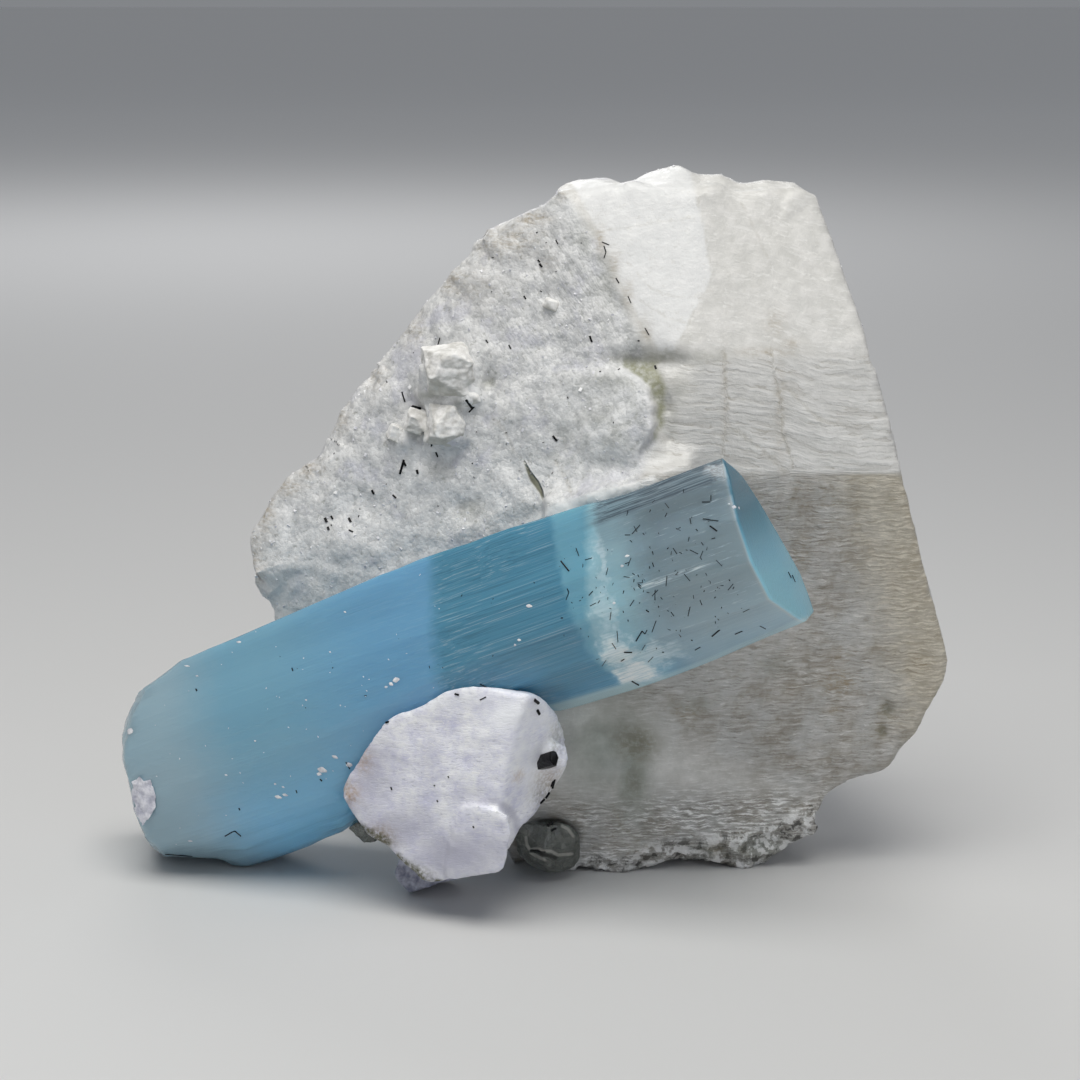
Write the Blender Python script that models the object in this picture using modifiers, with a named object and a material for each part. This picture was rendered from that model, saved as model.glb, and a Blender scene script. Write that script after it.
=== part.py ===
"""Aquamarine crystal on a feldspar matrix, a hand-sized mineral specimen.

A long hexagonal beryl leans across the front of a blocky feldspar crystal. A small white
feldspar, an albite foot, two bits of quartz and a stub of schorl sit round its lower edge.
Corner points are millimetres in the specimen's working frame: +X right, +Y back, +Z up,
with z = 0 on the surface that it stands on. The finished pieces are moved together so that
the origin lies under the middle of the whole specimen.
"""

import math

import bmesh
import bpy
from mathutils import Euler, Matrix, Vector, noise

MM = 0.001

# Driving dimensions, in millimetres and degrees.
TOUCH_GAP = 0.3  # clear space kept between two pieces that touch
STONE_VOXEL = 0.7  # grain of the remeshed rock before it is simplified
MATRIX_TRIANGLES = 6400  # left of it afterwards
CORNER_BEVEL = 0.5  # on the little feldspars

# The aquamarine has its own frame: X along the prism towards its free end, Y back towards
# the matrix, Z up across the prism, with the origin on its top edge near the free end.
BERYL_PLACE = (20.5, -16.0, 55.0)
BERYL_TURN = (-4.0, -23.0, -18.5)
BERYL_BUTT = -89.0
BERYL_THICK_TO = -57.0  # the lower side is thicker from the butt up to here
BERYL_THIN_FROM = -33.0  # and slim from here to the free end
BERYL_END = 1.6
BERYL_CROWN = [(-60.0, -4.6, 0.9), (-37.0, -4.1, 0.5)]  # slight swell of the top edge
# Cross-sections as (back, up) corners, walked round from the top edge.
BERYL_SLIM = [
    (-4.2, 0), (-5.5, -2.4), (-7.5, -7), (-8.1, -12), (-6.2, -16.6),
    (3.4, -20.9), (8, -20.6), (8.2, -15.8), (0.8, -3.9),
]
BERYL_STOUT = [
    (-5, 0), (-6.6, -2.6), (-9.4, -8), (-10.2, -15), (-8, -21.5),
    (1.5, -26.8), (9.5, -26), (11, -20), (2.5, -5),
]
# Planes that broke the butt, each a point and an outward direction in the beryl's frame.
BUTT_BREAKS = [
    ((-84.4, -3, -7.1), (-0.87, -0.44, 0.22)),
    ((-80.5, -3, -2.8), (-0.66, -0.40, 0.64)),
    ((-73.5, -4, 0.0), (-0.34, -0.14, 0.93)),
    ((-87.4, -1, -22.0), (-0.66, -0.36, -0.66)),
    ((-81.5, 0, -24.6), (-0.28, -0.10, -0.95)),
]

# Big feldspar: corners of the blocky crystal.
BLOCK_FRONT = {
    "ridge_top": (2.4, 4.0, 83.6),
    "cap_left": (18.5, 3.5, 84.6),
    "cap_right": (32.8, 6.5, 82.8),
    "shoulder_left": (12.8, -4.5, 65.4),
    "shoulder_mid": (17.4, -5.5, 65.4),
    "shoulder_right": (38.5, -2.0, 65.0),
    "waist_left": (12.5, -8.0, 50.2),
    "waist_right": (43.0, -4.4, 50.2),
    "elbow_right": (49.3, 0.2, 27.7),
    "heel_right": (43.4, 1.9, 13.7),
    "heel_low": (34.2, 1.4, 9.4),
    "toe_right": (28.6, 2.1, 1.0),
    "toe_left": (9.3, 0.0, -1.0),
    "flank_left": (0.0, -5.8, 30.0),
    "toe_far_left": (-3.0, -0.8, 2.0),
}
BLOCK_LEFT = {
    "diagonal_high": (-6.4, 9.0, 77.9),
    "diagonal_upper": (-12.2, 10.5, 72.0),
    "diagonal_mid": (-19.0, 12.0, 64.0),
    "diagonal_low": (-27.7, 13.5, 49.3),
    "tip_high": (-32.6, 14.0, 45.6),
    "tip": (-36.2, 14.0, 39.2),
    "tip_low": (-34.0, 14.5, 29.3),
    "under_left": (-22.0, 11.0, 16.5),
    "foot_left": (-4.5, 3.5, 3.0),
}
BLOCK_BACK = {
    "back_top_left": (3.0, 22.0, 79.0),
    "back_top_right": (28.0, 24.0, 78.0),
    "back_shoulder": (34.5, 29.0, 62.0),
    "back_waist": (39.5, 33.0, 46.0),
    "back_elbow": (43.5, 27.0, 27.0),
    "back_heel": (36.0, 26.0, 9.0),
    "back_left_high": (-13.0, 27.0, 64.0),
    "back_left": (-28.0, 27.0, 44.0),
    "back_left_low": (-25.0, 27.0, 28.0),
    "back_crown": (10.0, 35.0, 54.0),
    "back_middle": (10.0, 38.0, 34.0),
    "back_low": (8.0, 34.0, 12.0),
    "back_foot": (-3.0, 27.0, 5.0),
}
# The broken foot that carries it, under the block: its front, its right end and its back.
FOOT = [
    (-3.5, 1.2, -2.0), (9.5, 0.6, -2.0), (26.0, 2.6, -2.0), (-3.5, 0.8, 8.0), (9.5, -1.0, 8.0),
    (31.0, 1.6, 9.0), (29.0, 2.4, 1.0), (31.4, 2.0, 3.2), (34.4, 1.9, 5.2), (33.6, 2.6, 8.5),
    (27.0, 24.0, -2.0), (2.0, 27.0, -2.0), (-3.0, 20.0, -2.0),
    (31.0, 22.0, 12.0), (2.0, 29.0, 12.0), (-4.0, 24.0, 8.0),
]
# Sharp chip at the lower right corner.
CHIP = [
    (34.8, 1.6, 5.0), (33.2, 1.0, 6.8), (30.0, 1.2, 8.5), (30.0, 1.8, 2.6), (32.6, 1.9, 3.7),
    (30.5, 6.0, 6.5), (30.0, 6.0, 4.0),
]

# Rounded masses fused to the block: centre, half-sizes and turn about Z.
BROKEN_TOP = [
    ((6.6, 8.5, 82.0), (4.6, 5.5, 2.3), 0),
    ((16.2, 9.0, 82.4), (5.6, 5.5, 3.6), 0),
    ((21.5, 9.5, 82.4), (3.8, 5.5, 2.4), 0),
    ((27.2, 10.0, 81.9), (4.4, 4.5, 2.3), 0),
]
# The sugary lump whose ragged edge overhangs the crevice beside the smooth faces.
LUMP = [
    (13.2, -7.0, 59.0), (13.4, -7.6, 55.4), (11.8, -7.9, 52.6), (11.0, -4.6, 62.2), (8.0, -4.9, 57.5),
    (3.0, -0.6, 61.0), (-1.0, 0.8, 56.5), (2.0, -2.0, 50.5), (10.0, -7.4, 50.5),
    (10.0, 4.0, 57.0), (4.0, 6.0, 55.0),
]
# White ledge that laps over the aquamarine's upper edge.
RIM = [
    (0.5, -7.0, 48.0), (7.0, -9.4, 49.8), (11.0, -10.4, 51.2), (17.5, -10.0, 53.2),
    (0.5, -7.0, 44.0), (17.5, -9.5, 48.0),
    (0.0, 0.0, 48.5), (18.0, -5.0, 54.5), (0.0, 0.0, 44.0), (18.0, -5.0, 48.0),
]
# Small feldspars grown on the rough face: centre, full sizes and turn in degrees.
LITTLE_CRYSTALS = [
    ((-11.0, 6.4, 60.6), (5.6, 6.6, 5.6), (16, 12, -30)),
    ((-11.0, 5.4, 55.0), (3.8, 5.4, 5.2), (-14, -20, -14)),
    ((-14.9, 7.2, 55.0), (2.0, 3.6, 1.9), (20, 30, -30)),
    ((-8.4, 4.7, 59.2), (3.4, 4.0, 3.2), (-20, 24, 10)),
]
# Hollows cut from the block: centre, half-sizes and turn about Z.
HOLLOWS = [
    ((14.9, -7.4, 58.4), (1.2, 3.2, 5.6), 0),  # crevice beside the lump
    ((13.0, -5.3, 64.1), (7.5, 1.9, 1.5), -12),  # recess under the bright facet
    ((0.0, -1.6, 48.9), (0.5, 2.6, 2.2), -20),  # open crack above the aquamarine
    ((8.6, -7.9, 16.5), (6.0, 6.2, 8.0), -8),  # smooth concavity beside the white crystal
    ((42.6, -0.2, 20.8), (0.8, 1.2, 1.2), 0),  # two dimples near the elbow
    ((41.7, 0.0, 18.3), (0.7, 1.2, 1.1), 0),
    ((-21.2, 12.4, 59.9), (1.8, 4.0, 1.3), 0),  # step on the left edge
]
FOOT_NOTCHES = [
    ((5.0, -1.0, -0.6), (1.8, 5.0, 1.2), 0),
    ((13.0, -1.0, -0.7), (2.0, 5.0, 1.4), 10),
    ((20.0, -1.0, -1.0), (4.5, 8.0, 2.0), 0),
    ((-1.0, -1.0, -0.5), (3.0, 6.0, 3.0), 0),
]

# White feldspar in front: its broad face, the facet on its right, its underside and its back.
FRONT_FACE = [
    (-23.0, -13.0, 14.9), (-21.3, -13.6, 17.2), (-17.7, -14.9, 23.4), (-9.5, -18.1, 27.7),
    (-6.3, -19.4, 28.7), (-1.3, -20.8, 28.7), (-2.4, -21.2, 26.0), (-3.9, -21.1, 21.7),
    (-5.0, -20.6, 14.0), (-9.6, -18.4, 6.4), (-13.0, -17.2, 5.4), (-15.8, -16.2, 7.0),
    (-19.8, -14.3, 10.6), (-21.4, -13.5, 12.0),
]
FRONT_RIGHT = [
    (0.3, -18.0, 27.4), (2.0, -15.0, 24.6), (3.0, -12.6, 20.9), (3.3, -11.6, 17.6), (2.0, -12.0, 16.4),
    (-0.1, -13.2, 12.9), (-2.0, -15.0, 11.0), (-3.6, -17.4, 8.8),
]
FRONT_BACK = [
    (-20.5, -6.0, 12.0), (-14.0, -4.0, 8.0), (-3.0, -4.0, 9.0), (0.5, -5.0, 14.0),
    (-14.0, -8.0, 22.0), (-2.0, -9.0, 26.0),
]
# Cleavage plate that laps over the lower right of the broad face.
FRONT_PLATE = [
    (-9.3, -19.8, 15.0), (-6.9, -21.0, 15.6), (-3.6, -22.0, 14.8), (-2.8, -21.9, 12.6), (-4.2, -21.2, 8.8),
    (-4.6, -20.9, 7.7), (-6.3, -20.4, 7.0), (-9.8, -19.2, 5.8), (-11.5, -18.6, 6.6),
    (-8.0, -16.0, 14.0), (-3.4, -18.5, 13.0), (-8.5, -15.0, 8.0), (-4.6, -17.0, 8.6),
]
# Albite crystal under its lower left, down to the surface.
FOOT_CRYSTAL = [
    (-17.5, -8.2, 2.8), (-17.2, -8.0, 3.8), (-15.8, -8.4, -0.4), (-12.6, -9.6, 0.6), (-9.9, -9.2, 2.0),
    (-16.0, -7.6, 6.5), (-10.5, -4.0, 7.0), (-10.0, -3.5, -0.4), (-15.0, -3.0, -0.4), (-16.5, -4.5, 4.5),
]
# Rounded grey quartz between the white crystal and the foot: its outline, front and back.
QUARTZ = [
    (-2.4, -4.4, 7.2), (1.1, -4.6, 7.6), (2.6, -4.0, 7.5), (4.2, -2.6, 6.8), (5.0, -2.4, 5.6),
    (5.0, -2.2, 2.8), (4.2, -2.8, 1.5), (2.1, -3.6, 0.8), (0.7, -3.8, 0.6), (-1.6, -3.8, 1.8),
    (-3.4, -3.6, 3.6), (0.5, -5.6, 5.2), (0.5, -5.4, 2.8), (2.8, -4.8, 4.2),
    (1.0, 1.0, 6.5), (1.0, 1.0, 2.0), (-2.5, 1.0, 4.5), (3.8, 1.0, 4.5),
]
# Small knot of bluish quartz under the aquamarine.
KNOT = [
    (-23.2, -5.6, 7.6), (-21.9, -6.2, 8.6), (-20.2, -6.6, 7.4), (-21.2, -6.0, 5.8), (-19.4, -6.2, 6.2),
    (-22.0, -3.0, 8.6), (-20.4, -3.2, 8.0), (-21.4, -3.4, 6.4),
]
# Thin white albite grown on the broken butt.
ALBITE_CRUST = [
    (-49.9, -4.4, 13.6), (-48.2, -5.2, 14.4), (-46.9, -6.0, 12.6), (-46.1, -6.4, 10.4), (-46.6, -6.3, 8.8),
    (-47.8, -6.0, 7.8), (-49.4, -5.2, 10.0), (-48.4, -2.0, 11.5), (-47.4, -2.5, 9.5),
]
# Stub of schorl set in the right-hand facet of the white crystal.
SCHORL_PLACE = (0.9, -15.6, 19.2)
SCHORL_TURN = (66, 8, 38)
SCHORL_RADIUS = 1.35
SCHORL_LENGTH = 3.6
SCHORL_TAPER = 0.9

# Heights of the roughness on each kind of surface, and the sizes of its two patterns.
PLANES_ROUGH = 0.10
SUGARY_ROUGH = 0.34
BROKEN_ROUGH = 0.60
COARSE_BUMPS = 4.5
FINE_BUMPS = 1.3


def clear_scene():
    for item in list(bpy.data.objects):
        bpy.data.objects.remove(item)


def new_collection(name):
    made = bpy.data.collections.new(name)
    bpy.context.scene.collection.children.link(made)
    return made


def new_material(name, colour, roughness, transmission=0.0):
    made = bpy.data.materials.new(name)
    made.use_nodes = True
    shader = made.node_tree.nodes["Principled BSDF"]
    shader.inputs["Base Color"].default_value = (*colour, 1.0)
    shader.inputs["Roughness"].default_value = roughness
    shader.inputs["Transmission Weight"].default_value = transmission
    made.diffuse_color = (*colour, 1.0)
    return made


def add_object(name, shape, collection):
    """A new object from a bmesh, with its faces pointing out."""
    bmesh.ops.recalc_face_normals(shape, faces=shape.faces)
    mesh = bpy.data.meshes.new(name)
    shape.to_mesh(mesh)
    shape.free()
    made = bpy.data.objects.new(name, mesh)
    collection.objects.link(made)
    return made


def placed(point, turn):
    """The matrix that turns by three angles in degrees and moves to a point in millimetres."""
    turned = Euler([math.radians(angle) for angle in turn]).to_matrix().to_4x4()
    return Matrix.Translation(Vector(point) * MM) @ turned


def hull(name, corners, collection):
    """The flat-faced crystal that has these corners, in millimetres."""
    shape = bmesh.new()
    corners_made = {shape.verts.new(Vector(corner) * MM) for corner in corners}
    found = bmesh.ops.convex_hull(shape, input=shape.verts)
    left_over = {item for item in found["geom_interior"] + found["geom_unused"] if item in corners_made}
    bmesh.ops.delete(shape, geom=list(left_over), context="VERTS")
    bmesh.ops.dissolve_limit(shape, angle_limit=math.radians(0.5), verts=shape.verts, edges=shape.edges)
    return add_object(name, shape, collection)


def boulder(name, centre, half_sizes, turn, collection):
    """A rounded mass, for a lump or a hollow."""
    shape = bmesh.new()
    bmesh.ops.create_icosphere(shape, subdivisions=3, radius=1.0)
    place = Matrix.Translation(Vector(centre) * MM) @ Matrix.Rotation(math.radians(turn), 4, "Z")
    sizes = Matrix.Diagonal((*[size * MM for size in half_sizes], 1.0))
    bmesh.ops.transform(shape, matrix=place @ sizes, verts=shape.verts)
    return add_object(name, shape, collection)


def block(name, centre, sizes, turn, collection):
    """A box-shaped little crystal with its corners taken off."""
    shape = bmesh.new()
    bmesh.ops.create_cube(shape, size=1.0)
    scaled = Matrix.Diagonal((*[size * MM for size in sizes], 1.0))
    bmesh.ops.transform(shape, matrix=placed(centre, turn) @ scaled, verts=shape.verts)
    bmesh.ops.bevel(shape, geom=shape.edges[:], offset=CORNER_BEVEL * MM, segments=1, affect="EDGES")
    return add_object(name, shape, collection)


def settle(target):
    """Replaces an object's mesh by what its modifiers make of it."""
    bpy.context.view_layer.update()
    evaluated = target.evaluated_get(bpy.context.evaluated_depsgraph_get())
    mesh = bpy.data.meshes.new_from_object(evaluated)
    target.modifiers.clear()
    target.data = mesh


def combine(target, tool, operation):
    """Joins or cuts a mesh with another, which is used up."""
    step = target.modifiers.new(operation.title(), "BOOLEAN")
    step.operation = operation
    step.solver = "EXACT"
    step.object = tool
    settle(target)
    bpy.data.objects.remove(tool)


def grown(source, gap, collection):
    """A copy whose faces stand out by the gap all round, to cut a pocket with."""
    shape = bmesh.new()
    shape.from_mesh(source.data)
    shape.normal_update()
    moves = [vert.normal * vert.calc_shell_factor() * gap * MM for vert in shape.verts]
    for vert, move in zip(shape.verts, moves):
        vert.co += move
    return add_object(source.name + "_pocket", shape, collection)


def cut_flat(target, point, outward):
    """Takes away all that lies beyond a plane, and closes the cut."""
    shape = bmesh.new()
    shape.from_mesh(target.data)
    geometry = shape.verts[:] + shape.edges[:] + shape.faces[:]
    plane = {"plane_co": Vector(point) * MM, "plane_no": Vector(outward)}
    bmesh.ops.bisect_plane(shape, geom=geometry, dist=1e-7, clear_outer=True, **plane)
    rim = [edge for edge in shape.edges if edge.is_boundary]
    bmesh.ops.holes_fill(shape, edges=rim)
    bmesh.ops.recalc_face_normals(shape, faces=shape.faces)
    shape.to_mesh(target.data)
    shape.free()


def remesh(target, voxel):
    step = target.modifiers.new("Remesh", "REMESH")
    step.mode = "VOXEL"
    step.voxel_size = voxel * MM
    settle(target)


def simplify(target, triangles):
    """Fewer and larger faces, down to about this many triangles."""
    target.modifiers.new("Triangulate", "TRIANGULATE")
    settle(target)
    step = target.modifiers.new("Decimate", "DECIMATE")
    step.ratio = triangles / len(target.data.polygons)
    settle(target)


def roughen(target, amount_at):
    """Pushes each point in or out by noise, by as many millimetres as amount_at gives there."""
    normals = [vert.normal.copy() for vert in target.data.vertices]
    for vert, normal in zip(target.data.vertices, normals):
        place = vert.co / MM
        bumps = noise.noise(place / COARSE_BUMPS) + noise.noise(place / FINE_BUMPS)
        vert.co += normal * bumps * amount_at(place) * MM


def step_between(value, low, high):
    share = min(max((value - low) / (high - low), 0.0), 1.0)
    return share * share * (3 - 2 * share)


def matrix_roughness(place):
    """The big feldspar is smooth on its crystal faces, sugary on the left and broken elsewhere."""
    ridge_x = 13.0 - max(place.z - 64.0, 0.0) * 0.57 - 16.0 * (1 - step_between(place.z, 36.0, 46.0))
    left = 1 - step_between(place.x, ridge_x - 2.5, ridge_x + 0.5)
    low = 1 - step_between(place.z, 2.0, 9.0)
    high = step_between(place.z, 81.0, 84.0)
    behind = step_between(place.y, 14.0, 22.0)
    rough = max(left * SUGARY_ROUGH, low * BROKEN_ROUGH, high * BROKEN_ROUGH, behind * BROKEN_ROUGH)
    return max(rough, PLANES_ROUGH)


def build_matrix(parts, cutters):
    corners = [*BLOCK_FRONT.values(), *BLOCK_LEFT.values(), *BLOCK_BACK.values()]
    stone = hull("feldspar_matrix", corners, parts)
    combine(stone, hull("foot", FOOT, cutters), "UNION")
    combine(stone, hull("lump", LUMP, cutters), "UNION")
    combine(stone, hull("rim", RIM, cutters), "UNION")
    for spec in BROKEN_TOP:
        combine(stone, boulder("knob", *spec, cutters), "UNION")
    for spec in [*HOLLOWS, *FOOT_NOTCHES]:
        combine(stone, boulder("hollow", *spec, cutters), "DIFFERENCE")
    remesh(stone, STONE_VOXEL)
    roughen(stone, matrix_roughness)
    simplify(stone, MATRIX_TRIANGLES)
    for spec in LITTLE_CRYSTALS:
        combine(stone, block("little", *spec, cutters), "UNION")
    combine(stone, hull("chip", CHIP, cutters), "UNION")
    cut_flat(stone, (0, 0, 0), (0, 0, -1))
    return stone


def build_beryl(parts, cutters):
    """The stout butt and the slim free end are two prisms grown into one."""

    def ring(along, section):
        return [(along, back, up) for back, up in section]

    stout = ring(BERYL_BUTT, BERYL_STOUT) + ring(BERYL_THICK_TO, BERYL_STOUT)
    crystal = hull("aquamarine_crystal", stout + ring(BERYL_THIN_FROM, BERYL_SLIM) + BERYL_CROWN, parts)
    slim = ring(BERYL_THICK_TO, BERYL_SLIM) + ring(BERYL_END, BERYL_SLIM)
    combine(crystal, hull("slim", slim, cutters), "UNION")
    for point, outward in BUTT_BREAKS:
        cut_flat(crystal, point, outward)
    crystal.data.transform(placed(BERYL_PLACE, BERYL_TURN))
    cut_flat(crystal, (0, 0, 0), (0, 0, -1))
    return crystal


def build_front_crystal(parts, cutters):
    crystal = hull("feldspar_front_crystal", [*FRONT_FACE, *FRONT_RIGHT, *FRONT_BACK], parts)
    combine(crystal, hull("plate", FRONT_PLATE, cutters), "UNION")
    return crystal


def build_schorl(parts):
    """A short seven-sided prism, slightly narrower at its outer end."""
    shape = bmesh.new()
    wide = SCHORL_RADIUS * MM
    length = SCHORL_LENGTH * MM
    bmesh.ops.create_cone(
        shape, cap_ends=True, segments=7, radius1=wide, radius2=SCHORL_TAPER * wide, depth=length
    )
    bmesh.ops.transform(shape, matrix=placed(SCHORL_PLACE, SCHORL_TURN), verts=shape.verts)
    return add_object("schorl_crystal", shape, parts)


def pocket(target, piece, cutters):
    """Cuts room for a touching piece, with the touch gap all round it."""
    combine(target, grown(piece, TOUCH_GAP, cutters), "DIFFERENCE")


def stand_on_origin(pieces, parts):
    """Parents the pieces to an empty that puts the middle of their footprint on the origin."""
    centre = bpy.data.objects.new("specimen_centre", None)
    parts.objects.link(centre)
    for axis in (0, 1):
        reach = [vert.co[axis] for piece in pieces for vert in piece.data.vertices]
        centre.location[axis] = -(min(reach) + max(reach)) / 2
    for piece in pieces:
        piece.parent = centre


def main():
    clear_scene()
    parts = new_collection("aquamarine_on_feldspar")
    cutters = new_collection("cutters")
    cutters.hide_render = True

    beryl = build_beryl(parts, cutters)
    stone = build_matrix(parts, cutters)
    front = build_front_crystal(parts, cutters)
    foot = hull("albite_foot_crystal", FOOT_CRYSTAL, parts)
    cut_flat(foot, (0, 0, 0), (0, 0, -1))
    quartz = hull("quartz_crystal", QUARTZ, parts)
    knot = hull("quartz_knot", KNOT, parts)
    crust = hull("albite_crust", ALBITE_CRUST, parts)
    schorl = build_schorl(parts)

    pocket(front, schorl, cutters)
    pocket(front, beryl, cutters)
    pocket(knot, beryl, cutters)
    pocket(crust, beryl, cutters)
    pocket(foot, front, cutters)
    pocket(knot, front, cutters)
    pocket(quartz, front, cutters)
    for piece in (beryl, front, foot, quartz):
        pocket(stone, piece, cutters)

    feldspar = new_material("feldspar", (0.62, 0.61, 0.58), 0.55)
    albite = new_material("albite", (0.66, 0.66, 0.70), 0.5)
    looks = {
        stone: feldspar,
        front: new_material("white_feldspar", (0.72, 0.72, 0.75), 0.45),
        foot: albite,
        crust: albite,
        beryl: new_material("aquamarine", (0.30, 0.55, 0.68), 0.12, 0.8),
        quartz: new_material("quartz", (0.45, 0.46, 0.44), 0.1, 0.8),
        knot: new_material("bluish_quartz", (0.4, 0.45, 0.5), 0.3, 0.3),
        schorl: new_material("schorl", (0.01, 0.01, 0.012), 0.2),
    }
    for piece, material in looks.items():
        piece.data.materials.clear()
        piece.data.materials.append(material)
    stand_on_origin(list(looks), parts)


main()
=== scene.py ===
# %% [markdown]
# # An aquamarine on feldspar
#
# The specimen is a pegmatite pocket piece: one long blue beryl leans across a block of white
# feldspar, and smaller crystals sit round its foot. The solid model gives every piece its place
# and size. This lesson gives them their surfaces: sugary broken feldspar, striated crystal
# faces, clear and cloudy beryl, and the black schorl needles scattered through it all.

# %% Load the solid model
import math
import random

import bpy
import numpy as np
from mathutils import Euler, Matrix, Vector


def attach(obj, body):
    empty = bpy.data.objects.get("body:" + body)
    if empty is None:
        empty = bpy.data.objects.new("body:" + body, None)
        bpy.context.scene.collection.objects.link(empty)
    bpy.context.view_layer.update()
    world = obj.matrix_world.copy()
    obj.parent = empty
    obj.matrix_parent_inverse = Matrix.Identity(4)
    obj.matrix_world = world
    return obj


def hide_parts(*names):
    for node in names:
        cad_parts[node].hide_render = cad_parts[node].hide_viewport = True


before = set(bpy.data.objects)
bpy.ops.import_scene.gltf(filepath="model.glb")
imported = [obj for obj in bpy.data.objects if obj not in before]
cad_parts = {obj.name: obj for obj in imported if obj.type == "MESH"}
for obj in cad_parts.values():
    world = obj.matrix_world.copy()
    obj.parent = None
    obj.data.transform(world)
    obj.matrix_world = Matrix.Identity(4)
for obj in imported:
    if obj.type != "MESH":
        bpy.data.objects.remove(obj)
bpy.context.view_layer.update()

# %% [markdown]
# ## Units and colours
#
# Blender works in metres and a specimen is a few centimetres, so sizes are written in
# millimetres and turned by one constant. Colours are written as sRGB hex values, the way a
# colour picker shows them, and one function turns them to the linear values that shaders add up.

# %% Units and colours
MM = 0.001


def linear(hex_code):
    """The linear RGBA colour of an sRGB hex code."""
    parts = [int(hex_code[i:i + 2], 16) / 255 for i in (1, 3, 5)]
    return (*[c / 12.92 if c <= 0.04045 else ((c + 0.055) / 1.055) ** 2.4 for c in parts], 1.0)


print("mid grey in linear light is", linear("#808080")[:3])

# %% [markdown]
# ## Camera
#
# A specimen is shown with a long lens from a little above, so that its faces keep their
# proportions and the long crystal doesn't swell at its near end.

# %% Camera
CAMERA_LENS = 85.0
SENSOR_WIDTH = 36.0
CAMERA_HEIGHT = 12.0  # degrees above the horizon
CAMERA_DISTANCE = 306 * MM
CAMERA_AIM = (1.7 * MM, -5.8 * MM, 42 * MM)

camera = bpy.data.objects.new("camera", bpy.data.cameras.new("camera"))
bpy.context.scene.collection.objects.link(camera)
tilt = math.radians(CAMERA_HEIGHT)
camera.location = Vector(CAMERA_AIM) + CAMERA_DISTANCE * Vector((0, -math.cos(tilt), math.sin(tilt)))
camera.rotation_euler = (math.pi / 2 - tilt, 0, 0)
camera.data.lens = CAMERA_LENS
camera.data.sensor_width = SENSOR_WIDTH
camera.data.clip_start = 0.01
bpy.context.scene.camera = camera
print("camera at", tuple(round(c, 3) for c in camera.location))

# %% [markdown]
# ## Light
#
# Minerals are lit by one big soft source overhead: the faces that look up are bright, those that
# look down fall into shade, and the crystal edges read clearly. A weak panel in front opens the
# shade, and a ball behind lights the back and the floor without a hard edge.

# %% Light
FOOT_AIM = (0, 0, 0.03)
MIDDLE_AIM = (0, 0, 0.04)
WORLD_STRENGTH = 0.28


def add_light(name, place, aim, size, power, hex_code):
    """A soft light: a panel turned to its aim if its size is (wide, high), or a ball if it is a radius."""
    light = bpy.data.lights.new(name, "AREA" if isinstance(size, tuple) else "POINT")
    if isinstance(size, tuple):
        light.shape = "RECTANGLE"
        light.size, light.size_y = size
    else:
        light.shadow_soft_size = size
    light.energy = power
    light.color = linear(hex_code)[:3]
    lamp = bpy.data.objects.new(name, light)
    bpy.context.scene.collection.objects.link(lamp)
    lamp.location = place
    lamp.rotation_euler = (Vector(aim) - Vector(place)).to_track_quat("-Z", "Y").to_euler()


add_light("overhead_softbox", (-0.03, -0.17, 0.50), FOOT_AIM, (0.42, 0.34), 2.2, "#FFFDF8")
add_light("front_fill", (0.30, -0.62, 0.25), MIDDLE_AIM, (0.40, 0.40), 0.45, "#F2F6FF")
add_light("back_fill", (-0.13, 0.80, 0.45), MIDDLE_AIM, 0.22, 5.4, "#FFFFFF")

world = bpy.data.worlds.new("studio")
world.use_nodes = True
background = world.node_tree.nodes["Background"]
background.inputs["Color"].default_value = linear("#E8ECF2")
background.inputs["Strength"].default_value = WORLD_STRENGTH
bpy.context.scene.world = world
bpy.context.scene.view_settings.view_transform = "Standard"

# %% [markdown]
# ## How a material is built
#
# A material is a small network. One function adds a node with its settings and links, and the
# steps that every stone needs are put together from it: `glaze` lays thin coats of colour, each
# where its patterns and masks let it, `add_up` adds fine heights, and `skin` closes the network
# with a surface. Patterns read a point's own place in millimetres, so that a grain of 0.6 mm is
# written as a grain of 0.6 mm.

# %% How a material is built
def add(tree, kind, **given):
    """Adds a node. Capitalised names are its inputs, _0 and _1 inputs by number, others its own settings."""
    made = tree.nodes.new(kind)
    for name, value in given.items():
        if name[0].islower():
            setattr(made, name, value)
            continue
        if name[0] == "_":
            socket = made.inputs[int(name[1:])]
        else:
            socket = next(s for s in made.inputs if s.enabled and s.name == name.replace("_", " "))
        if isinstance(value, bpy.types.Node):
            value = next(s for s in value.outputs if s.enabled)
        if isinstance(value, bpy.types.NodeSocket):
            tree.links.new(value, socket)
        else:
            socket.default_value = value
    return made


def new_material(name):
    """An empty material, its nodes, and a point's place in millimetres as a node."""
    made = bpy.data.materials.new(name)
    made.use_nodes = True
    tree = made.node_tree
    tree.nodes.clear()
    coords = add(tree, "ShaderNodeTexCoord").outputs["Object"]
    return made, tree, add(tree, "ShaderNodeVectorMath", operation="SCALE", Vector=coords, Scale=1 / MM)


def cover(tree, strength, *parts):
    """A strength times some parts: masks, or patterns as (pattern, bare at, full at, least, most)."""
    for part in parts:
        if isinstance(part, tuple):
            pattern, bare, full, least, most = part if len(part) == 5 else (*part, 0.0, 1.0)
            part = add(
                tree, "ShaderNodeMapRange", Value=pattern,
                From_Min=bare, From_Max=full, To_Min=least, To_Max=most,
            )
        strength = add(tree, "ShaderNodeMath", operation="MULTIPLY", _0=strength, _1=part)
    return strength


def glaze(tree, stone, *coats):
    """Lays coats over a stone, each (colour, strength, *parts) as cover takes them."""
    for tone, strength, *parts in coats:
        share = cover(tree, strength, *parts)
        below, over = (linear(c) if isinstance(c, str) else c for c in (stone, tone))
        stone = add(tree, "ShaderNodeMix", data_type="RGBA", Factor=share, A=below, B=over)
    return stone


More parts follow.
